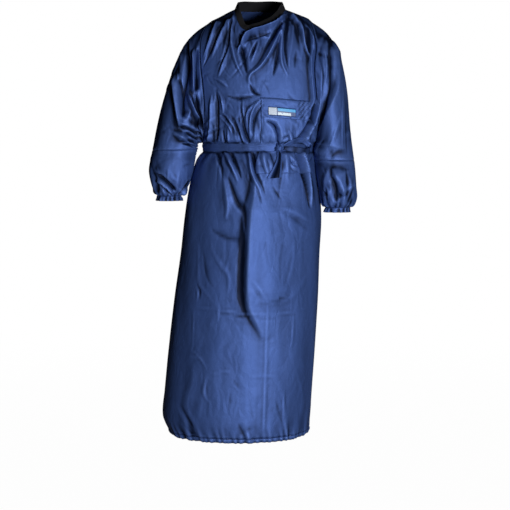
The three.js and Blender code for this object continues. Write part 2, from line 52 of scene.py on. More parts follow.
# %% Camera
EYE = Vector((-0.015, -4.0, -0.41))
AIM = Vector((-0.0155, 0.0, -0.747))
camera = bpy.data.objects.new("camera", bpy.data.cameras.new("camera"))
camera.data.lens = 91.4
camera.location = EYE
camera.rotation_euler = (AIM - EYE).to_track_quat("-Z", "Y").to_euler()
bpy.context.scene.collection.objects.link(camera)
bpy.context.scene.camera = camera
print("the camera stands", round((AIM - EYE).length, 2), "m away")

# %% [markdown]
# ## One small class for shader maths
# Node trees are easier to read as expressions. A Wire holds an output socket, and a sum or product
# of wires and numbers adds a Math node. Every other node comes from one method, which sets the
# node's own settings first and then the values or links of its sockets.


# %% Wire
class Wire:
    """An output socket of a node tree, used in expressions."""

    def __init__(self, tree, socket=None):
        self.tree = tree
        self.socket = socket

    def node(self, kind, settings, sockets, out=0):
        made = self.tree.nodes.new(kind)
        for name, value in settings.items():
            setattr(made, name, value)
        for name, value in sockets.items():
            if isinstance(value, Wire):
                self.tree.links.new(value.socket, made.inputs[name])
            else:
                made.inputs[name].default_value = value
        return Wire(self.tree, made.outputs[out] if made.outputs else None)

    def maths(self, operation, first, second):
        return self.node("ShaderNodeMath", {"operation": operation}, {0: first, 1: second})

    def __add__(self, other):
        return self.maths("ADD", self, other)

    def __sub__(self, other):
        return self.maths("SUBTRACT", self, other)

    def __rsub__(self, other):
        return self.maths("SUBTRACT", other, self)

    def __mul__(self, other):
        return self.maths("MULTIPLY", self, other)

    __radd__ = __add__
    __rmul__ = __mul__

    def above(self, edge):
        return self.maths("GREATER_THAN", self, edge)


def mixed(wire, share, low, high):
    """Two colours mixed by a share."""
    sockets = {0: share, 6: low, 7: high}
    return wire.node("ShaderNodeMix", {"data_type": "RGBA"}, sockets, out=2)


def finish_of(name, build):
    """A material whose Principled shader is fed by build(wire), a dict of socket names."""
    material = bpy.data.materials.new(name)
    material.use_nodes = True
    tree = material.node_tree
    shader = next(n for n in tree.nodes if n.type == "BSDF_PRINCIPLED")
    for socket, value in build(Wire(tree)).items():
        if isinstance(value, Wire):
            tree.links.new(value.socket, shader.inputs[socket])
        else:
            shader.inputs[socket].default_value = value
    print("finish", name, "has", len(tree.nodes), "nodes")
    return material


# %% [markdown]
# ## Floor, light and air
# A pale floor and pale air behind the gown keep its outline clean. The air is bright where the
# camera looks at it and weak as a light, so that the sides of the folds stay deep in colour. One
# wide lamp stands in front, to the wearer's left, and another stands behind so that the back can be
# seen. A lit dome could replace both, but it would flatten the folds.

# %% Studio
FLOOR = -1.49  # height in metres, as all sizes in this cell
FLOOR_HALF = 30.0
FADE_NEAR, FADE_FAR = 1.6, 4.0  # the floor's tone passes into the air's between these distances
LAMP_WIDE = 1.0
LAMP_AIM = Vector((0, 0, -0.7))


def make_floor():
    size = FLOOR_HALF
    mesh = bpy.data.meshes.new("floor")
    corners = [(x, y, FLOOR) for x, y in ((-size, -size), (size, -size), (size, size), (-size, size))]
    mesh.from_pydata(corners, [], [(0, 1, 2, 3)])
    floor = bpy.data.objects.new("floor", mesh)
    paper = bpy.data.materials.new("pale_paper")
    paper.use_nodes = True
    tree = paper.node_tree
    wire = Wire(tree)
    seen = wire.node("ShaderNodeLightPath", {}, {}, out="Is Camera Ray")
    matt = wire.node("ShaderNodeBsdfDiffuse", {}, {"Color": (0.2, 0.2, 0.2, 1)})
    glow = wire.node("ShaderNodeEmission", {}, {"Color": (1, 1, 1, 1), "Strength": 1.0})
    place = wire.node("ShaderNodeTexCoord", {}, {}, out="Object")
    far = wire.node("ShaderNodeVectorMath", {"operation": "LENGTH"}, {0: place}, out="Value")
    fade = {0: far, 1: FADE_NEAR, 2: FADE_FAR}
    clear = wire.node("ShaderNodeMapRange", {"interpolation_type": "SMOOTHSTEP"}, fade)
    share = seen * (0.985 + clear * 0.015)
    both = wire.node("ShaderNodeMixShader", {}, {0: share, 1: matt, 2: glow})
    output = next(n for n in tree.nodes if n.type == "OUTPUT_MATERIAL")
    tree.links.new(both.socket, output.inputs["Surface"])
    mesh.materials.append(paper)
    bpy.context.scene.collection.objects.link(floor)


def lamp(name, place, power):
    light = bpy.data.lights.new(name, "AREA")
    light.shape = "DISK"
    light.size = LAMP_WIDE
    light.energy = power
    thing = bpy.data.objects.new(name, light)
    thing.location = place
    aim = LAMP_AIM - Vector(place)
    thing.rotation_euler = aim.to_track_quat("-Z", "Y").to_euler()
    bpy.context.scene.collection.objects.link(thing)


def make_air():
    world = bpy.data.worlds.new("air")
    world.use_nodes = True
    tree = world.node_tree
    wire = Wire(tree)
    seen = wire.node("ShaderNodeLightPath", {}, {}, out="Is Camera Ray")
    air = next(n for n in tree.nodes if n.type == "BACKGROUND")
    air.inputs["Color"].default_value = (1, 1, 1, 1)
    tree.links.new((0.006 + seen * 0.994).socket, air.inputs["Strength"])
    bpy.context.scene.world = world


make_floor()
make_air()
lamp("key", (1.15, -3.6, -0.75), 158)
lamp("behind", (0.1, 3.7, -0.35), 100)
bpy.context.scene.view_settings.view_transform = "Standard"
print("floor at", FLOOR, "m, two lamps and pale air")

# %% [markdown]
# ## The coated nylon
# The cloth is a fine plain weave with a coating, so it's satin: wide soft glints on its ridges and
# deep blue in its troughs. Wrinkles a few millimetres wide and the weave are too fine for the mesh,
# so they are bump. The colour varies a little, as dyed nylon does, and handling has dulled it in
# soft patches, which shows in the roughness.
#
# Two numbers kept on each mesh, hollow and crest, darken the colour in folds and lighten it on sharp
# ridges. That isn't dye: it's shading kept in the colour, since the studio's light alone leaves thin
# folds too pale. Smaller lamps would darken them too, but would harden every shadow.

# %% Nylon
NAVY = (0.054, 0.105, 0.31, 1)
DEEP = (0.038, 0.08, 0.255, 1)
# SHADE is the colour of painted shade, PALE that of painted highlight.
SHADE = (0.002, 0.006, 0.024, 1)  # deep in a fold
PALE = (0.07, 0.13, 0.36, 1)  # on a sharp ridge


def threads(wire, place, way):
    settings = {"bands_direction": way}
    sockets = {"Vector": place, "Scale": 420.0, "Distortion": 0.4, "Detail": 1.0}
    return wire.node("ShaderNodeTexWave", settings, sockets)


def bump(wire, strength, distance, height, **under):
    sockets = {"Strength": strength, "Distance": distance, "Height": height, **under}
    return wire.node("ShaderNodeBump", {}, sockets)


def kept_on_mesh(wire, name):
    return wire.node("ShaderNodeAttribute", {"attribute_name": name}, {}, out="Fac")


def nylon(wire):
    place = wire.node("ShaderNodeTexCoord", {}, {}, out="Object")
    cloud = wire.node("ShaderNodeTexNoise", {}, {"Vector": place, "Scale": 9.0, "Detail": 3.0})
    dull = wire.node("ShaderNodeTexNoise", {}, {"Vector": place, "Scale": 34.0, "Detail": 4.0})
    creased = wire.node(
        "ShaderNodeTexNoise",
        {},
        {"Vector": place, "Scale": 75.0, "Detail": 5.0, "Roughness": 0.55, "Distortion": 0.6},
    )
    warp = threads(wire, place, "X")
    weft = threads(wire, place, "Z")
    bent = wire.node(
        "ShaderNodeTexNoise", {}, {"Vector": place, "Scale": 14.0, "Detail": 2.0}, out="Color"
    )
    moved = wire.node(
        "ShaderNodeVectorMath",
        {"operation": "MULTIPLY_ADD"},
        {0: bent, 1: (0.05, 0.05, 0.05), 2: place},
    )
    long = wire.node("ShaderNodeVectorMath", {"operation": "MULTIPLY"}, {0: moved, 1: (1, 1, 0.45)})
    facets = wire.node(
        "ShaderNodeTexVoronoi",
        {"feature": "DISTANCE_TO_EDGE"},
        {"Vector": long, "Scale": 30.0},
        out="Distance",
    )
    crumpled = bump(wire, 0.4, 0.0045, facets)
    wrinkled = bump(wire, 0.5, 0.0012, creased, Normal=crumpled)
    woven = bump(wire, 0.25, 0.0002, warp * 0.5 + weft * 0.5, Normal=wrinkled)
    hollow = kept_on_mesh(wire, "hollow")
    crest = kept_on_mesh(wire, "crest")
    even = mixed(wire, cloud * 0.7 + dull * 0.3, DEEP, NAVY)
    # Painted highlight lightens sharp crests, then painted shade darkens folds and the other shaded
    # places.
    with_painted_highlight = mixed(wire, crest, even, PALE)
    return {
        "Base Color": mixed(wire, hollow, with_painted_highlight, SHADE),
        "Metallic": 0.5,
        "Roughness": 0.53 + dull * 0.12,
        "Normal": woven,
        "Specular IOR Level": 0.2,
    }


NYLON = finish_of("coated_nylon", nylon)

# %% [markdown]
# ## Rib knit, thread and the printed label
# The neck band is a matt black rib. The thread is a shade lighter than the cloth. The label on the
# flap is a plain printed strip: a pale block and two bars, without any lettering.


# %% Other finishes
def rib_knit(wire):
    place = wire.node("ShaderNodeTexCoord", {}, {}, out="Object")
    fuzz = wire.node("ShaderNodeTexNoise", {}, {"Vector": place, "Scale": 900.0, "Detail": 3.0})
    lint = wire.node("ShaderNodeTexNoise", {}, {"Vector": place, "Scale": 60.0, "Detail": 2.0})
    rough = bump(wire, 0.6, 0.0004, fuzz)
    colour = mixed(wire, lint * 0.6 + fuzz * 0.4, (0.002, 0.002, 0.003, 1), (0.01, 0.01, 0.012, 1))
    return {
        "Base Color": colour,
        "Roughness": 0.85 + fuzz * 0.12,
        "Normal": rough,
        "Specular IOR Level": 0.2,
    }


def sewing_thread(wire):
    place = wire.node("ShaderNodeTexCoord", {}, {}, out="Object")
    ply = wire.node("ShaderNodeTexNoise", {}, {"Vector": place, "Scale": 2500.0, "Detail": 1.0})
    colour = mixed(wire, ply, (0.02, 0.045, 0.14, 1), (0.04, 0.08, 0.24, 1))
    return {"Base Color": colour, "Roughness": 0.5 + ply * 0.1}


def printed_strip(wire):
    place = wire.node("ShaderNodeUVMap", {"uv_map": "cut"}, {})
    parts = wire.tree.nodes.new("ShaderNodeSeparateXYZ")
    wire.tree.links.new(place.socket, parts.inputs[0])
    across = Wire(wire.tree, parts.outputs["X"])
    up = Wire(wire.tree, parts.outputs["Y"])

    def box(left, right, foot, top):
        return across.above(left) * (1 - across.above(right)) * up.above(foot) * (1 - up.above(top))

    block = box(0.02, 0.3, 0.08, 0.92)
    upper = box(0.34, 0.98, 0.56, 0.88)
    lower = box(0.34, 0.8, 0.12, 0.42)
    ground = mixed(wire, upper, (0.02, 0.05, 0.17, 1), (0.02, 0.27, 0.58, 1))
    barred = mixed(wire, lower, ground, (0.5, 0.6, 0.68, 1))
    worn = wire.node("ShaderNodeTexNoise", {}, {"Scale": 40.0, "Detail": 3.0})
    return {
        "Base Color": mixed(wire, block, barred, (0.34, 0.4, 0.5, 1)),
        "Roughness": 0.38 + worn * 0.15,
    }


RIB = finish_of("black_rib_knit", rib_knit)
THREAD = finish_of("navy_thread", sewing_thread)
PRINT = finish_of("printed_strip", printed_strip)

# %% [markdown]
# ## From a grid of points to a piece of cloth
# Every piece is a grid: rows run down the cloth and columns run across it. A grid is closed across
# when it goes round a sleeve. The Solidify modifier gives the cloth its wall, on the inside, so that
# hems and free edges have a thickness. The mesh could hold both faces itself, but a modifier keeps
# the grid readable.
#
# A point that lies behind its neighbours is in a hollow, and one before them is on a crest. Both are
# measured on the grid and kept on the mesh, where the nylon turns them into painted shade and painted
# highlight. A piece may add painted shade of its own.

# %% Grid to cloth
MM = 0.001
WALL = 0.7  # mm
TURNED_WALL = 1.6  # mm, where an edge is folded in
FINE, BROAD = 7, 20  # mm, the reach of a small crease and of a large fold


def unit(vectors):
    return vectors / np.maximum(np.linalg.norm(vectors, axis=-1, keepdims=True), 1e-9)


def mesh_of(name, points, faces):
    """A smooth mesh in metres of points in millimetres."""
    mesh = bpy.data.meshes.new(name)
    mesh.from_pydata((points.reshape(-1, 3) * MM).tolist(), [], faces)
    mesh.validate()
    mesh.polygons.foreach_set("use_smooth", [True] * len(mesh.polygons))
    return mesh


def grid_mesh(name, grid, ring):
    """A mesh in metres of a grid of points in millimetres, with the cut's own coordinates."""
    down, across = grid.shape[:2]
    ids = np.arange(down * across).reshape(down, across)
    if ring:
        ids = np.hstack([ids, ids[:, :1]])
    quads = np.stack([ids[:-1, :-1], ids[1:, :-1], ids[1:, 1:], ids[:-1, 1:]], -1).reshape(-1, 4)
    mesh = mesh_of(name, grid, quads.tolist())
    cut = mesh.uv_layers.new(name="cut")
    r, c = np.divmod(np.arange(down * across), across)
    flat = np.stack([c / (across - 1), 1 - r / (down - 1)], -1)
    corners = np.empty(len(mesh.loops), np.int32)
    mesh.loops.foreach_get("vertex_index", corners)
    cut.data.foreach_set("uv", flat[corners].ravel())
    return mesh


def add_piece(name, mesh, finish, stands_for=()):
    """An object that rides on the gown and stands for its part of the fitted model."""
    piece = bpy.data.objects.new(name, mesh)
    mesh.materials.append(finish)
    bpy.context.scene.collection.objects.link(piece)
    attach(piece, "root")
    if stands_for:
        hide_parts(*stands_for)
    return piece


def area_of(grid, ring=False):
    """Square metres of a grid in millimetres."""
    if ring:
        grid = closed(grid)
    one, two = grid[1:, 1:] - grid[:-1, :-1], grid[1:, :-1] - grid[:-1, 1:]
    return 0.5 * np.linalg.norm(np.cross(one, two), axis=-1).sum() * MM * MM


def run_of(grid, axis):
    """Length of cloth from the first row or column to each point, in millimetres."""
    steps = np.linalg.norm(np.diff(grid, axis=axis), axis=-1)
    first = np.zeros_like(np.take(steps, [0], axis=axis))
    return np.concatenate([first, np.cumsum(steps, axis=axis)], axis=axis)


def run_along(line):
    return np.concatenate([[0], np.cumsum(np.linalg.norm(np.diff(line, axis=0), axis=-1))])


def closed(grid):
    """A ring's grid with its first column again at the end."""
    return np.concatenate([grid, grid[:, :1]], axis=1)


def normals_of(grid, ring=False, sign=1):
    """Outward directions: rows go down, and columns go anticlockwise seen from above for +1."""
    down = np.gradient(grid, axis=0)
    if ring:
        across = (np.roll(grid, -1, axis=1) - np.roll(grid, 1, axis=1)) / 2
    else:
        across = np.gradient(grid, axis=1)
    return unit(np.cross(down, across)) * sign


def dents(points, reach, ring):
    """How far each point lies behind the mean of its neighbours at a reach in millimetres."""
    steps = [np.linalg.norm(np.diff(points, axis=axis), axis=-1).mean() for axis in (0, 1)]
    down, across = (max(1, round(reach / step)) for step in steps)
    wide = np.pad(points, ((down, down), (0, 0), (0, 0)), mode="edge")
    wide = np.pad(wide, ((0, 0), (across, across), (0, 0)), mode="wrap" if ring else "edge")
    rows, columns = points.shape[:2]
    total = np.zeros(points.shape)
    for r in (0, down, 2 * down):
        for c in (0, across, 2 * across):
            total += wide[r : r + rows, c : c + columns]
    skin = normals_of(points, ring)
    outward = points - points.mean(axis=1, keepdims=True)
    skin *= np.sign((skin * outward).sum())
    return ((total / 9 - points) * skin).sum(-1)


def hollows(grid, form, ring):
    """How deep in a fold each point lies, and how sharp a crest it's on, both from 0 to 1."""
    fine = dents(grid, FINE, ring) - dents(form, FINE, ring)
    broad = dents(grid, BROAD, ring) - dents(form, BROAD, ring)
    hollow = np.clip(fine / 1.1, 0, 1) * 0.55 + np.clip(broad / 3.3, 0, 1) * 0.75
    return np.clip(hollow, 0, 1), np.clip(-fine / 1.6, 0, 1)


def keep_shades(piece, **shades):
    """Keeps numbers from 0 to 1 on the points of a mesh, under the names that the nylon reads."""
    for name, values in shades.items():
        layer = piece.data.attributes.new(name, "FLOAT", "POINT")
        layer.data.foreach_set("value", np.clip(values, 0, 1).ravel())


def cloth(
    name, grid, form, held, ring=False, wall=WALL, rests_on=(), finish=None, slot="navy_cloth", shade=0
):
    """A piece of cloth with its wall, which prints the size that it was cut to.
    form is the same piece before its folds, which gives the size of the cut. shade from 0 to 1 is
    given painted shade, added to the measured hollows."""
    piece = add_piece(name + "_cloth", grid_mesh(name, grid, ring), finish or NYLON, [name])
    hollow, crest = hollows(grid, form, ring)
    keep_shades(piece, hollow=hollow + shade * (1 - crest), crest=crest)
    shell = piece.modifiers.new("wall", "SOLIDIFY")
    shell.thickness = wall * MM
    shell.offset = -1
    widths = run_of(closed(form) if ring else form, 1)[:, -1]
    width = (widths.mean() if ring else widths.max()) * MM
    length = run_of(form, 0)[-1].max() * MM
    area = min(area_of(form, ring), width * length)
    print(f"{name}: cut {width:.3f} by {length:.3f} m, {len(piece.data.polygons)} quads")
    return piece


# %% [markdown]
# ## The form of the gown
# These tables are the gown's half widths and depths in millimetres, the same that the fitted model
# has. A smooth curve runs through the rows of a table. The body is oval at each height; its front
# dips to the V of the neck, and its side edges follow the armholes.


# %% Tables of the form
def table(names, *rows):
    return {name: np.array(column, float) for name, column in zip(names.split(), zip(*rows))}


BODY = table(
    "z right left front back",
    (15, 76, 76, 55, 72),
    (0, 121, 121, 68, 84),
    (-12, 149, 149, 76, 91),
    (-37, 186, 186, 88, 103),
    (-60, 205, 204, 96, 110),
    (-93, 220, 214, 106, 118),
    (-149, 230, 222, 118, 124),
    (-215, 230, 226, 126, 126),
    (-270, 218, 222, 130, 123),
    (-330, 199, 204, 132, 119),
    (-375, 183, 186, 130, 114),
    (-400, 177, 176, 124.5, 108.5),
    (-415, 174, 169, 123.5, 107.5),
    (-427, 175, 168, 124.5, 108.5),
    (-460, 196, 171, 137, 122),
    (-530, 216, 182, 144, 134),
    (-632, 233, 189, 150, 148),
    (-744, 245, 184, 156, 156),
    (-874, 264, 180, 161, 164),
    (-1023, 282, 171, 166, 172),
    (-1172, 298, 161, 171, 177),
    (-1250, 304, 156, 172, 178),
    (-1289, 285, 150, 166, 171),
    (-1302, 276, 145, 162, 167),
)
ARMHOLE = table(
    "z right left",
    (-12, 149, 149),
    (-50, 174, 162),
    (-100, 182, 170),
    (-160, 180, 165),
    (-215, 175, 167),
    (-276, 170, 174),
    (-340, 169, 177),
    (-384, 172, 178),
    (-400, 177, 176),
)
NECK_TOP, NECK_LEVEL = 15, -200
NECK_DIP, NECK_DIP_AT = 77, -0.52
FLAP_INNER, FLAP_OUTER = 4, 13  # how far the ends of the flap hang below its row
ARMHOLE_TOP, UNDERARM = -12, -400
BELT_TOP, BELT_MIDDLE, BELT_BOTTOM = -404, -415, -427
POCKET_WIDE = 160
HEM_STITCH, HEM_BOTTOM = -1289, -1302


def ease(t):
    t = np.clip(t, 0, 1)
    return t * t * (3 - 2 * t)


def bell(t):
    return np.exp(-(t**2))


def at(columns, name, z):
    """A column of a table at heights z, on a smooth curve through its rows."""
    heights, values = columns["z"][::-1], columns[name][::-1]
    slopes = np.empty_like(values)
    slopes[1:-1] = (values[2:] - values[:-2]) / (heights[2:] - heights[:-2])
    slopes[0] = (values[1] - values[0]) / (heights[1] - heights[0])
    slopes[-1] = (values[-1] - values[-2]) / (heights[-1] - heights[-2])
    z = np.clip(z, heights[0], heights[-1])
    i = np.clip(np.searchsorted(heights, z, side="right") - 1, 0, len(heights) - 2)
    step = heights[i + 1] - heights[i]
    t = (z - heights[i]) / step
    start = (2 * t**3 - 3 * t**2 + 1) * values[i] + (t**3 - 2 * t**2 + t) * step * slopes[i]
    end = (3 * t**2 - 2 * t**3) * values[i + 1] + (t**3 - t**2) * step * slopes[i + 1]
    return start + end


def centre_at(z):
    return (at(BODY, "left", z) - at(BODY, "right", z)) / 2


def sloped(points):
    """The shoulders slope down from the neck, the wearer's right one further than the left."""
    x, z = points[..., 0], points[..., 2]
    far = np.where(x < 0, 8.0, 2.0)
    neck = np.where(points[..., 1] > 0, 1.0, ease((np.abs(x) - 15) / 60))
    drop = 11 * neck + far * ease((np.abs(x) - 75) / 60)
    moved = points.copy()
    moved[..., 2] -= drop * ease((z + 260) / 180)
    return moved


def slanted(x, level):
    """The rows of the flap slant down to the wearer's left, and the rows round them follow."""
    inner, outer = FLAP_INNER * ease((x + 60) / 60), ease(x / POCKET_WIDE)
    across = inner + (FLAP_OUTER - inner) * outer
    return across * ease((-215 - level) / 45) * ease((level + 392) / 66)


def body_points(side, share, level):
    """Points of the form. share runs from -1 at the wearer's right edge to 1 at the left one."""
    left = share >= 0
    sign = np.where(left, 1.0, -1.0)
    centre = centre_at(level)

    def half(columns, z):
        return np.where(left, at(columns, "left", z), at(columns, "right", z))

    beside_arm = (level < ARMHOLE_TOP) & (level > UNDERARM)
    body_edge = half(BODY, level)
    edge = np.where(beside_arm, np.minimum(half(ARMHOLE, level), body_edge), body_edge)
    reach = edge - sign * centre
    swing = np.sin(np.abs(share) * math.pi / 2)
    x = reach * swing
    blend = np.clip((level - NECK_LEVEL) / (NECK_TOP - NECK_LEVEL), 0, 1)
    right_arm = sign * swing < NECK_DIP_AT
    run = np.where(right_arm, 1 + NECK_DIP_AT, 1 - NECK_DIP_AT)
    near = 1 - np.abs(sign * swing - NECK_DIP_AT) / run
    dip = near + ((1 - (1 - near) ** 3) - near) * np.where(right_arm, 0.7, 0.8)
    low = NECK_DIP * dip * blend + slanted(centre + sign * x, level)
    z = level - (low if side == "front" else 0)
    wide = np.maximum(half(BODY, z) - sign * centre_at(z), reach)
    deep = at(BODY, side, z) * np.sqrt(np.maximum(0, 1 - (x / wide) ** 2))
    return sloped(np.stack([centre + sign * x, -deep if side == "front" else deep, z], -1))


# %% [markdown]
# ## Even cloth
# A real cloth has the same spacing of threads all over. So the columns of a panel stand at even
# steps of cloth along each row: one spacing over the pocket's width on each side of the centre, and
# another from there to the side seam. The pocket then follows the panel's own columns.

# %% Grids of the body
def even_row(side, sign, level, near_columns, far_columns):
    """Half a row, from the centre to one edge, at even steps of cloth."""
    share = np.linspace(0, 1, 121) * sign
    line = body_points(side, share, np.full(share.shape, float(level)))
    run = run_along(line)
    whole = run[-1]
    pocket = min(POCKET_WIDE * max(1, whole / 240), whole * 0.85)
    near = np.linspace(0, pocket, near_columns + 1)
    far = np.linspace(pocket, whole, far_columns + 1)[1:]
    return np.interp(np.concatenate([near, far]), run, np.abs(share)) * sign


def body_grid(side, levels, near_columns, far_columns):
    shares = []
    for level in levels:
        right = even_row(side, -1, level, near_columns, far_columns)
        left = even_row(side, 1, level, near_columns, far_columns)
        shares.append(np.concatenate([right[:0:-1], left]))
    shares = np.array(shares)
    return body_points(side, shares, np.repeat(levels[:, None], shares.shape[1], axis=1))


def stretches(*stops):
    """Levels through (level, step) stops: each stretch is cut into even steps near that size."""
    levels = [float(stops[0][0])]
    for (top, step), (bottom, _) in zip(stops, stops[1:]):
        count = max(1, round((top - bottom) / step))
        levels.extend(np.linspace(top, bottom, count + 1)[1:])
    return np.array(levels)


LEVELS = stretches(
    (15, 1.5), (-12, 3), (-60, 4), (-263, 4), (-289, 4), (-315, 3), (-321, 4), (-404, 3.7),
    (-415, 4), (-427, 4), (-492, 5), (-640, 7.5), (-1180, 6.5), (-1289, 4.4), (-1302, 3),
)
FRONT_NEAR, FRONT_FAR = 62, 32
BACK_NEAR, BACK_FAR = 50, 30
front_form = body_grid("front", LEVELS, FRONT_NEAR, FRONT_FAR)
back_form = body_grid("back", LEVELS, BACK_NEAR, BACK_FAR)
print("front grid", front_form.shape[:2], "back grid", back_form.shape[:2])


def row_of(level):
    return int(np.argmin(np.abs(LEVELS - level)))

# %% [markdown]
# ## Folds
# A fold is a soft ridge or trough along a short smooth path, given in millimetres in the front
# view. Its height dies away across it, faster on one side where it leans, and towards its ends.
# Sharp small creases, pleats where an edge is gathered, and a slow sway are added by loops with
# fixed seeds, so each run gives the same cloth.


# %% Fold tools
def curve(a, b, c, d, t):
    """A Catmull-Rom curve from b to c at shares t, guided by a and d."""
    bend = (2 * a - 5 * b + 4 * c - d) * t**2 + (3 * b - a - 3 * c + d) * t**3
    return 0.5 * (2 * b + (c - a) * t + bend)


def smooth_path(points, steps=7):
    """A Catmull-Rom curve through a few points."""
    p = np.array(points, float)
    p = np.vstack([2 * p[0] - p[1], p, 2 * p[-1] - p[-2]])
    t = np.linspace(0, 1, steps, endpoint=False)[:, None]
    runs = []
    for a, b, c, d in zip(p, p[1:], p[2:], p[3:]):
        runs.append(curve(a, b, c, d, t))
    return np.vstack([*runs, p[-2:-1]])


def tent(off):
    """Section of a crease in crisp cloth: two nearly flat sides that meet in a narrow crest."""
    return np.clip(1 - np.sqrt(off * off + 0.012) / 2.2, 0, 1) ** 1.4


def fold_height(x, z, high, wide, lean, ends, path):
    """Height of one fold at places of the front view. lean is from -1 to 1, and ends says over which
    share of its length the fold grows and dies: 0 leaves it full at that end."""
    line = smooth_path(path)
    lows, highs = line.min(0) - 3 * wide, line.max(0) + 3 * wide
    inside = (x > lows[0]) & (x < highs[0]) & (z > lows[1]) & (z < highs[1])
    px, pz = x[inside], z[inside]
    nearest = np.full(px.shape, 1e12)
    along = np.zeros(px.shape)
    hand = np.zeros(px.shape)
    done = 0.0
    for a, b in zip(line, line[1:]):
        step = b - a
        length = max(float(np.hypot(*step)), 1e-6)
        t = np.clip(((px - a[0]) * step[0] + (pz - a[1]) * step[1]) / length**2, 0, 1)
        dx, dz = px - a[0] - t * step[0], pz - a[1] - t * step[1]
        gap = dx * dx + dz * dz
        closer = gap < nearest
        nearest = np.where(closer, gap, nearest)
        along = np.where(closer, done + t * length, along)
        hand = np.where(closer, np.sign(step[0] * dz - step[1] * dx), hand)
        done += length
    share = along / done
    grow = np.clip(share / ends[0], 0, 1) if ends[0] else 1.0
    die = np.clip((1 - share) / ends[1], 0, 1) if ends[1] else 1.0
    full = grow * die
    off = np.sqrt(nearest) / (wide * (1 + lean * hand) * (0.35 + 0.65 * full))
    out = np.zeros(x.shape)
    out[inside] = high * tent(off) * full**0.8
    return out


BODY_GAIN, SLEEVE_GAIN = 2.2, 2.4  # the tables' heights are multiplied by these
FOLD_NARROW = 0.62  # and their widths by this
USUAL_LEAN = 0.25  # of a fold whose lean is 0 in its table


def folds_of(folds, x, z, gain=BODY_GAIN):
    total = np.zeros(x.shape)
    for high, wide, lean, ends, *path in folds:
        total += fold_height(x, z, gain * high, FOLD_NARROW * wide, lean or USUAL_LEAN, ends, path)
    return total


def fans_of(fans, x, z, seed):
    """Creases that run between two lines, each a little off its neighbours."""
    rng = np.random.default_rng(seed)
    total = np.zeros(x.shape)
    for count, high, wide, *corners in fans:
        a, b, c, d = np.array(corners, float)
        for k in range(count):
            share = (k + rng.uniform(0.1, 0.9)) / count
            start = a + (b - a) * share
            end = c + (d - c) * np.clip(share + rng.normal() * 0.12, 0, 1)
            end = start + (end - start) * rng.uniform(0.45, 1.1)
            side = np.array([end[1] - start[1], start[0] - end[0]]) * rng.normal() * 0.05
            path = [start, (start * 2 + end) / 3 + side, (start + end * 2) / 3 + side * 0.6, end]
            size = rng.uniform(0.3, 1) ** 2
            tall = high * size * (1 if rng.uniform() < 0.6 else -1)
            slim = wide * (0.6 + 0.9 * size)
            lean = rng.uniform(-0.4, 0.4)
            total += fold_height(x, z, tall, slim, lean, (0.1, 0.8), path)
    return total


def crumples(u, v, count, seed, high, wide, long, tilt, spread):
    """Small sharp creases: a thin ridge with a trough on one side."""
    rng = np.random.default_rng(seed)
    out = np.zeros(u.shape)
    low, top = np.array([u.min(), v.min()]), np.array([u.max(), v.max()])
    for _ in range(count):
        place = rng.uniform(low, top)
        turn = tilt + spread * rng.normal()
        tall = high * rng.uniform(0.3, 1.0) * rng.choice([-1, 1])
        slim = wide * rng.uniform(0.7, 1.5)
        reach = long * rng.uniform(0.35, 1.5)
        bow = rng.normal() * 0.25 / reach
        du, dv = u - place[0], v - place[1]
        along = du * math.cos(turn) + dv * math.sin(turn)
        across = dv * math.cos(turn) - du * math.sin(turn) + bow * along**2
        near = (np.abs(along) < reach) & (np.abs(across) < 4 * slim)
        a = across[near] / slim
        grow = (1 - (along[near] / reach) ** 2) ** 2
        out[near] += tall * grow * (tent(1.3 * a) - 0.4 * tent(1.1 * (a - 1.8)))
    return out


def sway(u, v, seed, across, along, high):
    """A slow waving of the cloth, with waves longer down the cloth than across it."""
    rng = np.random.default_rng(seed)
    out = np.zeros(u.shape)
    for _ in range(9):
        fu = rng.choice([-1, 1]) / (across * rng.uniform(0.6, 1.8))
        fv = rng.choice([-1, 1]) / (along * rng.uniform(0.7, 2.2))
        out += np.sin(2 * math.pi * (fu * u + fv * v) + rng.uniform(0, 6.3)) * high / 3
    return out


def gathers(turn, away, count, high, reach, seed):
    """Pleats that start at a gathered edge. turn goes from 0 to 1 along it, away is millimetres."""
    rng = np.random.default_rng(seed)
    out = np.zeros(np.broadcast(turn, away).shape)
    for k in range(count):
        place = (k + rng.uniform(0.15, 0.85)) / count
        slim = rng.uniform(0.2, 0.4) / count
        tall = high * rng.uniform(0.4, 1.25)
        run = reach * rng.uniform(0.45, 1.6)
        drift = rng.normal() * 0.5 * slim / reach
        gap = (turn - place - drift * away + 0.5) % 1 - 0.5
        spread = slim * (1 + 0.8 * away / run)
        out += tall * bell(gap / spread) * np.exp(-((away / run) ** 1.5))
    return out * (1 - np.exp(-away / 4.0))


# %% [markdown]
# ## Folds of the front
# The front is pulled from the neck to the arms, bloused over the belt, and hangs free below it.
# From the V a thick fold crosses to the wearer's left shoulder, and thinner ones fan out below the
# shoulders. The skirt has one deep valley under the belt's middle and the faint straight creases
# of a gown that was kept folded.

# %% Front folds
SOFT = (0.5, 0.5)
FROM = (0.0, 0.7)  # full where it starts
TO = (0.7, 0.0)  # full where it ends
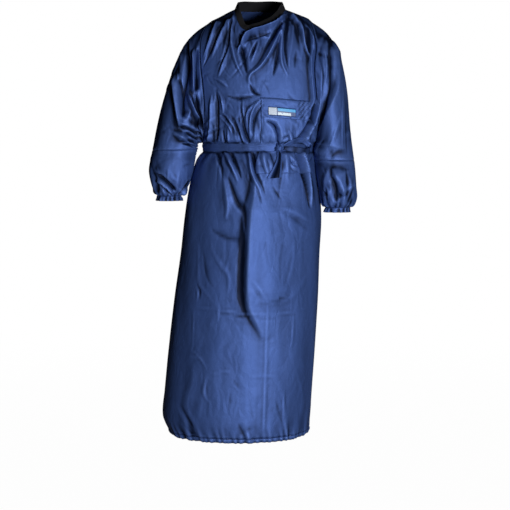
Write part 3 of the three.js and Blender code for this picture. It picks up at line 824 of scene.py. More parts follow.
# Each fold: height, width, lean, (growing, dying), then its path of (x, z).
CHEST = [
    (6, 9, 0, FROM, (-128, -45), (-150, -95), (-172, -148)),
    (-5, 6, 0, SOFT, (-128, -70), (-148, -118), (-172, -176)),
    (6, 9, 0.2, FROM, (-96, -40), (-126, -98), (-148, -150)),
    (-6, 6, 0, FROM, (-86, -42), (-98, -110), (-126, -188)),
    (5, 7, 0, SOFT, (-98, -130), (-110, -165), (-126, -205)),
    (6, 8, -0.2, FROM, (-78, -28), (-86, -75), (-83, -115), (-70, -165), (-52, -205)),
    (-8, 11, 0, SOFT, (-62, -70), (-56, -124), (-40, -196)),
    (11, 9, -0.35, (0.12, 0.12), (-68, -130), (-46, -90), (-34, -76), (3, -60), (42, -45), (74, -14)),
    (-6, 7, 0, SOFT, (-52, -118), (-34, -94), (4, -84), (34, -72)),
    (4, 6, 0, SOFT, (-34, -92), (-6, -86), (26, -88)),
    (5, 6, 0, SOFT, (-3, -96), (-14, -132), (-28, -160)),
    (-5, 5, 0, SOFT, (-10, -98), (-24, -130), (-34, -150)),
    (-8, 7, 0.2, (0.1, 0.6), (66, -32), (42, -78), (20, -114), (2, -152)),
    (7, 9, -0.2, FROM, (58, -70), (28, -134), (0, -175), (-26, -196), (-33, -215), (-24, -236),
     (-10, -254)),
    (-5, 7, 0, SOFT, (-34, -218), (-20, -250), (4, -262)),
    (6, 9, 0, FROM, (66, -52), (60, -126), (65, -168), (82, -202)),
    (-5, 7, 0, SOFT, (55, -112), (48, -156), (38, -204)),
    (-5, 7, 0, FROM, (82, -22), (73, -78), (74, -126), (84, -186)),
    (-1.5, 10, 0, SOFT, (108, -124), (103, -178)),
    (7, 10, 0.2, FROM, (94, -22), (121, -58), (132, -100), (148, -156)),
    (-6, 6, 0, SOFT, (128, -60), (140, -105), (147, -142)),
    (5, 7, 0, SOFT, (136, -48), (153, -95), (158, -130)),
    (5, 12, 0.35, (0.1, 0.2), (128, -40), (144, -70), (152, -106), (149, -165), (153, -225),
     (157, -275), (150, -330)),
    (3, 8, 0, SOFT, (-140, -206), (-118, -216), (-96, -236)),
]
WAIST = [
    (-8, 8, 0.2, (0.3, 0.1), (16, -334), (40, -349), (50, -375), (52, -404)),
    (10, 6, 0, (0.15, 0.1), (170, -262), (165, -306), (155, -340), (141, -365), (120, -396)),
    (-9, 6, 0, (0.2, 0.1), (160, -280), (153, -312), (143, -342), (128, -366), (108, -392)),
    (-4, 5, 0, SOFT, (62, -392), (86, -377)),
    (6, 6, 0, SOFT, (6, -266), (-20, -300), (-30, -336), (-31, -398)),
    (-5, 5, 0, SOFT, (12, -284), (-10, -312), (-20, -345), (-22, -396)),
    (5, 5, 0, SOFT, (-6, -276), (-36, -306), (-43, -340)),
    (-6, 6, 0, TO, (-56, -306), (-49, -356), (-34, -402)),
    (8, 7, 0.2, TO, (-76, -322), (-58, -362), (-44, -402)),
    (4, 4, 0, SOFT, (-124, -302), (-102, -319), (-82, -346), (-70, -372)),
    (-4, 4, 0, SOFT, (-128, -310), (-106, -327), (-86, -354)),
    (4, 4, 0, SOFT, (-118, -326), (-96, -346), (-84, -372)),
    (5, 6, 0, (0.2, 0.1), (-146, -256), (-147, -362), (-150, -398)),
    (-6, 6, 0, (0.2, 0.1), (-131, -250), (-130, -360), (-132, -400)),
    (5, 6, 0, SOFT, (-127, -246), (-114, -272), (-111, -312)),
    (4, 6, 0, SOFT, (-52, -270), (-50, -325)),
    (5, 6, 0, TO, (-96, -352), (-92, -402)),
    (-4, 5, 0, TO, (-110, -360), (-106, -402)),
    (4, 6, 0, TO, (84, -362), (92, -402)),
    (-4, 7, 0, SOFT, (-20, -262), (-62, -268), (-100, -262)),
]
HIPS = [
    (8, 8, 0.2, FROM, (-36, -424), (-31, -450), (-25, -493), (-8, -530), (3, -562)),
    (-8, 7, 0, FROM, (-27, -424), (-20, -452), (-12, -492), (4, -525), (14, -556)),
    (8, 8, 0, FROM, (-106, -427), (-84, -472), (-66, -518)),
    (-6, 7, 0, FROM, (-92, -427), (-70, -470), (-56, -508)),
    (-4, 8, 0, FROM, (-130, -430), (-116, -476), (-112, -520)),
    (4, 4, 0, SOFT, (84, -436), (98, -456), (112, -462)),
    (-4, 4, 0, SOFT, (86, -448), (99, -466), (114, -474)),
    (4, 4, 0, SOFT, (88, -464), (102, -478), (116, -482)),
    (15, 6, 0, (0.03, 0.3), (110, -420), (120, -450), (134, -487), (149, -542), (157, -600)),
    (-14, 6, 0, (0.03, 0.3), (101, -422), (111, -454), (125, -490), (141, -545), (149, -600)),
    (-4, 5, 0, SOFT, (-15, -520), (4, -584)),
    (-2.4, 7, 0, SOFT, (34, -528), (64, -574)),
    (-1.8, 14, 0, SOFT, (66, -610), (104, -630), (146, -668)),
    (3, 12, 0, SOFT, (60, -596), (104, -608), (150, -640)),
    (5, 9, 0, FROM, (6, -427), (12, -462), (26, -505)),
    (-4, 8, 0, FROM, (30, -427), (38, -462), (52, -500)),
    (4, 9, 0, FROM, (72, -427), (78, -470), (84, -500)),
]
SKIRT = [
    (8, 13, 0, SOFT, (-110, -500), (-98, -576), (-104, -630)),
    (-9, 13, 0.2, SOFT, (-96, -500), (-70, -576), (-46, -608), (-42, -670)),
    (19, 62, 0.68, (0.25, 0.3), (-20, -470), (-16, -540), (-27, -610), (-32, -700), (-37, -790),
     (-37, -866), (-28, -905), (-4, -950), (11, -988)),
    (-5, 16, 0, (0.3, 0.3), (-46, -660), (-56, -752), (-56, -850), (-46, -900), (-24, -940)),
    (2, 8, 0.2, SOFT, (-36, -798), (-4, -833), (26, -884)),
    (0.8, 14, 0, SOFT, (28, -884), (76, -872), (110, -845), (148, -788)),
    (-1.2, 8, 0, SOFT, (-26, -826), (4, -868)),
    (-2.2, 13, 0.2, (0.3, 0.2), (-150, -658), (-104, -682), (-58, -690)),
    (2.4, 9, 0, SOFT, (-150, -680), (-142, -726), (-116, -768), (-95, -800), (-98, -864)),
    (2, 8, 0, SOFT, (-186, -700), (-185, -812), (-170, -840), (-130, -890)),
    (-2, 9, 0, SOFT, (-172, -720), (-160, -800), (-132, -842)),
    (3, 4, 0, SOFT, (-198, -824), (-188, -850), (-192, -882)),
    (-3, 4, 0, SOFT, (-192, -818), (-181, -846), (-184, -876)),
    (1.8, 4, 0, SOFT, (-206, -892), (-125, -899), (-57, -908), (24, -914), (98, -908), (146, -899)),
    (-1.2, 4, 0, SOFT, (-206, -902), (-125, -909), (-57, -918), (24, -924), (98, -918), (146, -909)),
    (1.5, 6, 0, (0.1, 0.1), (22, -884), (18, -982), (15, -1100), (9, -1286)),
    (1.8, 4, 0, SOFT, (-200, -887), (-203, -982), (-207, -1022)),
    (1.5, 4, 0, SOFT, (-125, -872), (-128, -944)),
    (1.8, 4, 0, SOFT, (101, -908), (98, -974), (92, -1028)),
    (1.8, 4, 0, SOFT, (73, -1124), (69, -1266)),
    (1.5, 4, 0, SOFT, (-220, -1048), (-174, -1047)),
    (1.6, 4, 0, SOFT, (-154, -1093), (-82, -1080)),
    (1.6, 4, 0, SOFT, (-46, -1101), (3, -1095), (52, -1101)),
    (3, 5, 0, SOFT, (-214, -1018), (-180, -1048), (-157, -1084)),
    (4, 20, 0, SOFT, (-200, -1060), (-204, -1120), (-220, -1196), (-192, -1262)),
    (3, 6, 0, SOFT, (-163, -1098), (-170, -1150), (-148, -1184)),
    (-1.2, 7, 0, SOFT, (-84, -1104), (-56, -1142)),
    (-1.2, 8, 0, SOFT, (-88, -1138), (-95, -1206)),
    (-1.4, 10, 0, SOFT, (44, -1166), (72, -1264)),
    (-5, 22, 0, SOFT, (-66, -1240), (-38, -1294)),
    (2.2, 10, 0, SOFT, (-256, -1190), (-232, -1236), (-205, -1276)),
    (-1.8, 9, 0, SOFT, (-246, -1186), (-220, -1230), (-192, -1270)),
    (2, 40, 0, SOFT, (90, -960), (96, -1200)),
    (-2, 40, 0, SOFT, (-106, -940), (-112, -1180)),
]
FRONT_FOLDS = CHEST + WAIST + HIPS + SKIRT
# Each fan: count, height, width, then the line where its creases start and the one where they end.
FRONT_FANS = [
    (10, 5, 4, (-66, -24), (-132, -40), (-50, -225), (-172, -205)),
    (10, 3.5, 4, (68, -22), (142, -40), (14, -215), (162, -235)),
    (7, 3.5, 4, (-44, -70), (34, -50), (-44, -190), (46, -200)),
    (12, 5.5, 4, (-150, -402), (-36, -402), (-168, -270), (-52, -285)),
    (9, 4.5, 4, (-40, -402), (62, -402), (-40, -275), (58, -318)),
    (6, 4, 4, (70, -402), (150, -402), (70, -330), (166, -300)),
    (14, 3.5, 4.5, (-130, -430), (132, -430), (-170, -600), (150, -580)),
    (5, 4, 4, (-168, -350), (-168, -392), (-92, -290), (-110, -372)),
    (5, 4, 4, (168, -330), (168, -392), (118, -262), (104, -380)),
    (9, 1, 4, (-150, -690), (120, -690), (-190, -880), (140, -900)),
    (12, 1, 4, (-200, -1230), (130, -1230), (-190, -1010), (110, -1040)),
]
print(len(FRONT_FOLDS), "folds on the front")

# %% [markdown]
# ## Folds of the back
# Nothing shows the back, so it's finished plainly with folds like those of the front: some from the
# shoulders, blousing over the belt, and long soft ones in the skirt.

# %% Back folds
BACK_FOLDS = [
    (6, 9, 0, FROM, (-92, -40), (-112, -100), (-150, -172)),
    (-6, 8, 0, FROM, (-84, -44), (-84, -120), (-70, -214)),
    (6, 9, 0.2, FROM, (-60, -30), (-62, -120), (-46, -200)),
    (5, 9, 0, SOFT, (-128, -180), (-112, -240), (-116, -300)),
    (6, 9, 0, FROM, (96, -36), (120, -96), (150, -160)),
    (-6, 8, 0, FROM, (82, -40), (78, -120), (64, -236)),
    (5, 8, 0, SOFT, (104, -110), (96, -176), (112, -236)),
    (-5, 8, 0, SOFT, (128, -90), (132, -150), (150, -200)),
    (6, 8, 0, TO, (-122, -268), (-92, -330), (-70, -402)),
    (-6, 7, 0, TO, (-104, -274), (-80, -336), (-58, -402)),
    (5, 6, 0, TO, (-148, -300), (-126, -346), (-118, -402)),
    (6, 8, 0, TO, (128, -262), (100, -334), (74, -402)),
    (-6, 7, 0, TO, (110, -280), (88, -340), (60, -402)),
    (5, 6, 0, TO, (150, -300), (136, -350), (126, -402)),
    (-4, 6, 0, TO, (-20, -330), (-14, -402)),
    (5, 7, 0, TO, (22, -322), (30, -402)),
    (8, 9, 0, FROM, (-112, -427), (-104, -490), (-120, -560)),
    (-8, 9, 0, FROM, (-92, -427), (-84, -500), (-70, -590)),
    (7, 9, 0, FROM, (96, -427), (104, -500), (96, -580)),
    (-7, 9, 0, FROM, (112, -427), (126, -490), (130, -560)),
    (-6, 9, 0, FROM, (-14, -427), (-20, -500), (-6, -580)),
    (9, 20, 0.2, SOFT, (-150, -560), (-168, -760), (-176, -980)),
    (-9, 20, 0, SOFT, (-116, -560), (-126, -800), (-140, -1120)),
    (8, 22, 0, SOFT, (86, -560), (92, -800), (86, -1060)),
    (-8, 18, 0, SOFT, (118, -600), (112, -820), (104, -1100)),
    (6, 16, 0, SOFT, (-206, -840), (-224, -1040), (-232, -1230)),
    (4, 7, 0, SOFT, (-60, -640), (-92, -700), (-96, -780)),
    (-5, 9, 0, SOFT, (140, -700), (96, -742), (60, -744)),
    (1.8, 4, 0, SOFT, (-210, -896), (-120, -902), (-20, -910), (60, -912), (146, -902)),
    (1.8, 4.5, 0, SOFT, (-118, -900), (-122, -1060), (-124, -1240)),
    (1.6, 4, 0, SOFT, (96, -910), (92, -1040), (84, -1180)),
    (5, 20, 0, SOFT, (60, -1140), (66, -1284)),
    (-5, 18, 0, SOFT, (-186, -1120), (-178, -1284)),
]
BACK_FANS = [
    (9, 5, 4, (-56, -20), (-140, -40), (-40, -225), (-170, -215)),
    (9, 5, 4, (58, -20), (142, -40), (36, -215), (164, -225)),
    (14, 5.5, 4, (-150, -402), (-20, -402), (-166, -270), (-40, -285)),
    (14, 5, 4, (30, -402), (150, -402), (44, -285), (164, -276)),
    (18, 5, 5, (-150, -430), (140, -430), (-186, -640), (156, -610)),
    (12, 2, 5, (-200, -1230), (130, -1230), (-190, -1000), (110, -1000)),
]


# %% [markdown]
# ## The body panels
# Heights from all the fold tools are added and the grid is moved out by them. They are quiet at the
# seams, under the belt and at the neck band, so the pieces still meet. The front is one panel. The
# back is open from neck to hem, and the wearer's right side laps over the left one.
#
# The front has painted shade given in four places: along the armhole seams, over the shoulders,
# beside the deep fold in the middle of the skirt, and in a line under the belt.


# %% Panels of the body
def relief(form, folds, fans, seed, calm=10):
    """Height of the cloth above a body form, in millimetres. It grows from 0 at the top edge to
    full at calm millimetres below it."""
    x, z = form[..., 0], form[..., 2]
    u, v = run_of(form, 1), run_of(form, 0)
    whole = u[:, -1:]
    turn = u / whole
    middle = u - whole / 2
    skirt = ease((-440 - z) / 120)
    height = folds_of(folds, x, z) * (1 - 0.6 * skirt) + fans_of(fans, x, z, seed + 6)
    height += crumples(middle, z, 240, seed, 1.3, 3.4, 26, 1.5, 0.7) * (1 - 0.9 * skirt)
    height += crumples(middle, z, 60, seed + 1, 2.0, 5.0, 60, 1.5, 0.45) * (1 - 0.8 * skirt)
    height += sway(middle, z, seed + 2, 110, 380, 1.6) * (0.3 + 0.15 * skirt)
    above, below = np.clip(z - BELT_TOP, 0, None), np.clip(BELT_BOTTOM - z, 0, None)
    height += gathers(turn, above, 15, 3.6, 38, seed + 3) * (z > BELT_TOP)
    height += gathers(turn, below, 16, 4.2, 46, seed + 4) * (z < BELT_BOTTOM)
    height += gathers(turn, z - HEM_BOTTOM + 4, 34, 7.0, 30, seed + 5)
    height += 2.0 * bell((above - 22) / 16) * (z > BELT_TOP)
    edge = np.minimum(u, whole - u)
    belt = ease((np.maximum(above, below) - 1.5) / 9)
    under_belt = (z <= BELT_TOP) & (z >= BELT_BOTTOM)
    height *= ease(edge / 11) * np.where(under_belt, 0, belt) * ease(v / calm)
    sunk = 0.9 + 1.6 * ease((z + 330) / 60)
    seam = -sunk * bell(edge / 2.4) + 0.5 * bell((edge - 6.5) / 3)
    stitched = -0.8 * bell((z - HEM_STITCH) / 2.2)
    return height + seam + stitched


front_out = normals_of(front_form)
back_out = normals_of(back_form, sign=-1)
front_height = relief(front_form, FRONT_FOLDS, FRONT_FANS, 11)
back_height = relief(back_form, BACK_FOLDS, BACK_FANS, 41, calm=50)
front_cloth = front_form + front_out * front_height[..., None]
back_cloth = back_form + back_out * back_height[..., None]
front_skin = normals_of(front_cloth)
back_skin = normals_of(back_cloth, sign=-1)
stitch_row = row_of(HEM_STITCH)
print("front relief", front_height.min().round(1), "to", front_height.max().round(1), "mm")


def casing(name, cloth_grid, skin, form, columns):
    """The turned hem under the stitch line: a thicker, rounder edge."""
    rows = slice(stitch_row, None)
    swell = 0.9 * np.sin(np.linspace(0.15, 1, len(LEVELS) - stitch_row) * math.pi)[:, None, None]
    turned = cloth_grid[rows, columns] + skin[rows, columns] * (0.3 + swell)
    return cloth(name, turned, form[rows, columns], "gathered", wall=TURNED_WALL)


SKIRT_FOLD = table(
    "down right",  # millimetres below the neck, and the x of the dark band's edge there
    (560, -22),
    (613, -32),
    (690, -36),
    (780, -37),
    (866, -41),
    (920, -22),
)
BAND_ACROSS = 22  # mm, and 12 more in which it fades


def shade_of_front(form):
    """Painted shade given on the front, from 0 to 1."""
    x, z = form[..., 0], form[..., 2]
    run = run_of(form, 1)
    to_seam = np.minimum(run, run[:, -1:] - run)
    shade = 0.8 * bell(to_seam / 5) * ease((z + 340) / 60)
    shade += 0.5 * (ease((np.abs(x) - 50) / 60) * ease((z + 135) / 90))
    inside = np.interp(-z, SKIRT_FOLD["down"], SKIRT_FOLD["right"]) - x
    dark = ease((inside + 1) / 4) * (1 - ease((inside - BAND_ACROSS) / 12))
    dark *= ease((-625 - z) / 90) * ease((z + 925) / 70)
    shade += 0.7 * dark
    shade += 0.75 * bell((z - BELT_BOTTOM + 3) / 4)
    return shade


everything = slice(None)
top_rows = slice(0, stitch_row + 1)
front_shade = shade_of_front(front_form)[top_rows]
cloth("front_panel", front_cloth[top_rows], front_form[top_rows], "draped", shade=front_shade)
casing("hem_casing_front", front_cloth, front_skin, front_form, everything)

BACK_MIDDLE = BACK_NEAR + BACK_FAR
LAP_COLUMNS = 20  # by which each back panel passes the centre
left_columns = slice(BACK_MIDDLE - LAP_COLUMNS, None)
right_columns = slice(0, BACK_MIDDLE + LAP_COLUMNS + 1)
column = np.arange(back_form.shape[1])[None, :]
over = ease((column - (BACK_MIDDLE - LAP_COLUMNS - 5)) / 5)
edge_wave = ease((column - (BACK_MIDDLE + 4)) / 10)
edge_height = 1.3 + 1.1 * np.sin(LEVELS / 31.0) + 0.9 * np.sin(LEVELS / 13.0 + 1)
at_belt = ease((np.abs(LEVELS - BELT_MIDDLE) - 14) / 30) * ease((NECK_TOP - LEVELS) / 20)
lapped = over * 2.0 + edge_wave * (edge_height * at_belt)[:, None]
back_over = back_cloth + back_skin * lapped[..., None]
right_form, left_form = back_form[:, right_columns], back_form[:, left_columns]
cloth("back_panel_right", back_over[top_rows, right_columns], right_form[top_rows], "draped")
cloth("back_panel_left", back_cloth[top_rows, left_columns], left_form[top_rows], "draped")
casing("hem_casing_back_right", back_over, back_skin, back_form, right_columns)
casing("hem_casing_back_left", back_cloth, back_skin, back_form, left_columns)

# %% [markdown]
# ## Pocket, flap and label
# The pocket is a patch on the wearer's left, with its top under a flap and its foot below the belt.
# Each is a stretch of the panel's own grid moved out, so it creases with the panel. The flap has a
# few slanting pull lines of its own, where the arm drags on it.

# %% Pocket
POCKET_TOP, POCKET_FOOT = -289, -492
FLAP_TOP, FLAP_FOOT = -263, -321
LABEL_TOP, LABEL_FOOT = -291, -313
FLAP_BASE = 2.9  # mm from the front panel to the flap's edges
FRONT_MIDDLE = FRONT_NEAR + FRONT_FAR
pocket_columns = slice(FRONT_MIDDLE, FRONT_MIDDLE + FRONT_NEAR + 1)


def patch(name, top, bottom, columns, base, puff, extra=None, wall=WALL, **more):
    """A piece lying on the front, base millimetres out at its sewn edges and puffed between."""
    rows = slice(row_of(top), row_of(bottom) + 1)
    grid, skin = front_cloth[rows, columns], front_skin[rows, columns]
    form = front_form[rows, columns]
    u, v = run_of(form, 1), run_of(form, 0)
    edge = np.minimum(np.minimum(u, u[:, -1:] - u), v[-1:] - v)
    rise = base + puff * ease(edge / 10) + 0.5 * bell((edge - 2.5) / 2)
    if extra is not None:
        rise = rise + extra(form[..., 0], form[..., 2], u, v)
    return cloth(name, grid + skin * rise[..., None], form, "laid", wall=wall, **more)


def pocket_relief(x, z, u, v):
    near_belt = ease((np.abs(z - BELT_MIDDLE) - 13) / 10)
    return near_belt * (1.2 + crumples(u, v, 26, 71, 1.6, 4.0, 26, 0.9, 0.8)) * ease(v / 12)


def flap_relief(x, z, u, v):
    pull = ease((x - 104) / 18) * ease((170 - x) / 14) * ease(v / 8) * ease((v[-1:] - v) / 8)
    ribs = 1.9 * np.cos(2 * math.pi * ((x - 110) * 0.78 - (z + 300) * 0.62) / 9.5)
    sag = crumples(u, v, 12, 72, 1.1, 4.0, 30, 0.2, 0.5)
    return ribs * pull + sag + 0.9 * ease(v / 10)


patch(
    "pocket", POCKET_TOP, POCKET_FOOT, pocket_columns, 0.9, 0.5, pocket_relief,
    rests_on=["front_panel"],
)
patch(
    "pocket_flap", FLAP_TOP, FLAP_FOOT, pocket_columns, FLAP_BASE, 0.2, flap_relief,
    rests_on=["pocket"],
)
label_columns = slice(FRONT_MIDDLE + 8, FRONT_MIDDLE + 42)
patch(
    "flap_label", LABEL_TOP, LABEL_FOOT, label_columns, FLAP_BASE + 1.7, 0.25, wall=0.5,
    rests_on=["pocket_flap"], finish=PRINT, slot="label",
)

# %% [markdown]
# ## Sleeves
# A sleeve starts at the armhole seam and its sections turn towards the wrist. One smooth surface
# runs through all the sections, and it's cut at the elbow seam and again at the wrist, as the real
# sleeve is pieced. Each section is an oval, given by its outer and inner ends in the front view.

# %% Sleeve forms
SLEEVE_COLUMNS = 176
SLEEVES = {
    "right": table(
        "outX outZ inX inZ deep y",
        (197, -45, 187, -402, 86, 0),
        (233, -85, 189, -406, 88, -2),
        (262, -149, 190, -411, 88, -4),
        (282, -215, 191, -415, 85, -7),
        (300, -282, 191, -418, 81, -10),
        (316, -350, 191, -420, 77, -13),
        (331, -422, 192, -422, 72, -16),
        (338, -453, 202, -453, 73, -19),
        (342, -485, 212, -487, 71, -22),
        (336, -517, 221, -518, 63, -25),
        (326, -543, 231, -543, 49, -27),
        (316, -562, 242, -562, 38, -28),
        (315, -577, 244, -577, 37, -28),
    ),
    "left": table(
        "outX outZ inX inZ deep y",
        (197, -45, 185, -402, 86, -2),
        (226, -85, 185, -410, 88, -5),
        (238, -149, 184, -420, 87, -9),
        (251, -215, 181, -430, 84, -14),
        (266, -286, 178, -439, 80, -20),
        (277, -366, 175.5, -446, 76, -26),
        (288, -453, 174.5, -453, 71, -32),
        (292, -490, 175, -490, 71, -38),
        (295, -530, 179, -530, 67, -44),
        (295, -562, 186, -562, 58, -48),
        (286, -584, 193, -584, 46, -50),
        (275, -597, 199, -597, 37, -50),
        (273, -611, 200, -611, 36, -50),
    ),
}
ELBOW_RING, WRIST_RING, END_RING = 7, 12, 13  # counted from the armhole ring
RING_STEPS = (16, 14, 14, 14, 14, 14, 14, 8, 8, 8, 7, 6, 6)


def armhole_ring(sign, angle):
    """The armhole seam: the front edge of the body going down, then its back edge going up."""
    middle, half = (ARMHOLE_TOP + UNDERARM) / 2, (ARMHOLE_TOP - UNDERARM) / 2
    level = middle + half * np.cos(angle)
    share = np.full(angle.shape, float(sign))
    front = body_points("front", share, level)
    back = body_points("back", share, level)
    return np.where((np.sin(angle) >= 0)[:, None], front, back)


def sleeve_form(hand):
    sign = -1 if hand == "right" else 1
    angle = 2 * math.pi * np.arange(SLEEVE_COLUMNS) / SLEEVE_COLUMNS
    rings = [armhole_ring(sign, angle)]
    cut = SLEEVES[hand]
    for out_x, out_z, in_x, in_z, deep, y in zip(*cut.values()):
        middle = np.array([sign * (out_x + in_x) / 2, y, (out_z + in_z) / 2])
        reach = np.array([sign * (out_x - in_x) / 2, 0, (out_z - in_z) / 2])
        push = np.array([0, -deep, 0])
        ring = middle + np.cos(angle)[:, None] * reach + np.sin(angle)[:, None] * push
        rings.append(sloped(ring))
    keys = np.array(rings)
    padded = np.concatenate([2 * keys[:1] - keys[1:2], keys, 2 * keys[-1:] - keys[-2:-1]])
    rows, starts = [], []
    for i, steps in enumerate(RING_STEPS):
        starts.append(len(rows))
        a, b, c, d = padded[i : i + 4]
        for t in np.linspace(0, 1, steps, endpoint=False):
            rows.append(curve(a, b, c, d, t))
    rows.append(keys[-1])
    starts.append(len(rows) - 1)
    return np.array(rows), starts, angle, sign


# %% [markdown]
# ## Folds of the sleeves
# The right sleeve's folds run down the outer arm and meet under the arm. The left sleeve has a deep
# valley from the shoulder to the underarm, beside a bright ridge, and a hollow above the wrist.

# %% Sleeve folds
SLEEVE_FOLDS = {
    "right_front": [
        (9, 7, 0.2, (0.15, 0.1), (-199, -118), (-201, -186), (-203, -250)),
        (-8, 7, 0, (0.15, 0.1), (-189, -118), (-190, -186), (-192, -250)),
        (9, 6, 0, (0.1, 0.0), (-218, -252), (-200, -308), (-184, -350), (-168, -386)),
        (-8, 6, 0, (0.2, 0.0), (-206, -262), (-188, -312), (-172, -362)),
        (-9, 12, 0, (0.2, 0.1), (-218, -130), (-222, -200), (-232, -270), (-226, -330)),
        (9, 12, 0.4, (0.2, 0.15), (-256, -190), (-252, -260), (-248, -310), (-244, -352)),
        (-8, 6, 0, (0.15, 0.1), (-242, -200), (-238, -268), (-232, -330)),
        (-9, 5, 0, (0.15, 0.1), (-243, -354), (-222, -357), (-203, -365), (-180, -381)),
        (-6, 5, 0, (0.15, 0.1), (-222, -370), (-200, -384), (-176, -396)),
        (6, 14, 0, SOFT, (-262, -372), (-236, -384), (-214, -398)),
        (-7, 6, 0, (0.2, 0.1), (-193, -250), (-188, -300), (-177, -376)),
        (5, 5, 0, SOFT, (-198, -240), (-190, -300), (-174, -366)),
        (4, 4, 0, SOFT, (-254, -180), (-241, -212), (-230, -236)),
        (-6, 8, 0, SOFT, (-222, -90), (-222, -160), (-226, -226)),
        (4, 4, 0, SOFT, (-222, -398), (-206, -404), (-194, -412)),
        (-4, 4, 0, SOFT, (-236, -404), (-214, -409), (-198, -418)),
        (-1.5, 14, 0, SOFT, (-314, -450), (-315, -480), (-308, -505)),
        (-9, 6, 0.2, (0.2, 0.1), (-318, -494), (-290, -514), (-256, -546)),
        (6, 6, 0, (0.2, 0.1), (-316, -510), (-290, -532), (-266, -556)),
        (-6, 5, 0, (0.2, 0.1), (-308, -520), (-286, -541), (-268, -558)),
        (5, 5, 0, (0.2, 0.1), (-210, -510), (-224, -534), (-246, -560)),
        (-6, 6, 0, (0.2, 0.1), (-220, -512), (-234, -536), (-250, -558)),
    ],
    "left_front": [
        (2.2, 24, 0, (0.1, 0.2), (184, -80), (188, -140), (186, -200), (182, -260), (178, -320)),
        (7.5, 40, 0.6, (0.12, 0.1), (222, -84), (225, -139), (227, -190), (226, -236),
         (212, -291), (200, -337), (183, -391), (174, -438)),
        (-3, 12, 0, (0.2, 0.1), (206, -120), (209, -190), (206, -244), (190, -300), (176, -352),
         (164, -400)),
        (1.6, 5, 0, SOFT, (190, -118), (200, -172), (196, -228)),
        (-1.6, 5, 0, SOFT, (180, -150), (188, -200), (184, -250)),
        (1.2, 6, 0, SOFT, (240, -230), (243, -320), (248, -420)),
        (-1.2, 6, 0, SOFT, (254, -270), (258, -350), (262, -436)),
        (2, 5, 0, SOFT, (176, -360), (168, -386), (172, -408)),
        (-1.5, 5, 0, SOFT, (200, -390), (190, -420), (186, -444)),
        (4.5, 24, 0.55, (0.3, 0.15), (217, -476), (232, -515), (252, -558)),
        (-4, 14, 0, (0.3, 0.2), (216, -500), (224, -538), (228, -578)),
        (3, 12, 0, SOFT, (206, -474), (197, -512), (194, -556)),
        (2.2, 5, 0, SOFT, (198, -528), (206, -548), (204, -570)),
        (-2.2, 5, 0, SOFT, (190, -540), (198, -556), (204, -576)),
        (2, 7, 0, SOFT, (268, -500), (270, -540), (262, -572)),
        (-1.5, 7, 0, SOFT, (258, -476), (260, -520), (258, -560)),
    ],
    "right_back": [
        (7, 10, 0, (0.15, 0.1), (-214, -110), (-218, -200), (-206, -300), (-184, -384)),
        (-8, 10, 0, (0.15, 0.1), (-234, -120), (-238, -220), (-216, -320), (-190, -390)),
        (8, 11, 0, SOFT, (-262, -180), (-262, -280), (-236, -360)),
        (-6, 9, 0, SOFT, (-282, -250), (-280, -330), (-262, -396)),
        (5, 6, 0, SOFT, (-240, -372), (-214, -384), (-196, -400)),
        (6, 10, 0, SOFT, (-300, -440), (-290, -490), (-268, -530)),
        (-7, 8, 0, SOFT, (-246, -450), (-258, -500), (-266, -544)),
    ],
    "left_back": [
        (7, 10, 0, (0.15, 0.1), (186, -110), (192, -210), (184, -310), (176, -390)),
        (-9, 11, 0, (0.15, 0.1), (208, -110), (214, -220), (200, -330), (180, -410)),
        (8, 11, 0, SOFT, (232, -190), (234, -300), (216, -390)),
        (-6, 9, 0, SOFT, (254, -260), (254, -340), (240, -420)),
        (7, 10, 0, SOFT, (256, -470), (250, -520), (240, -560)),
        (-7, 8, 0, SOFT, (214, -480), (218, -530), (226, -572)),
    ],
}
SLEEVE_FANS = {
    "right": [
        (8, 3, 4, (-186, -60), (-250, -130), (-200, -300), (-300, -330)),
        (8, 4, 4, (-180, -330), (-190, -412), (-262, -270), (-300, -400)),
        (10, 5, 5, (-236, -556), (-318, -556), (-216, -458), (-336, -458)),
    ],
    "left": [
        (7, 2.5, 4, (186, -70), (232, -130), (186, -300), (262, -330)),
        (10, 5, 5, (196, -590), (278, -590), (186, -500), (290, -500)),
    ],
}


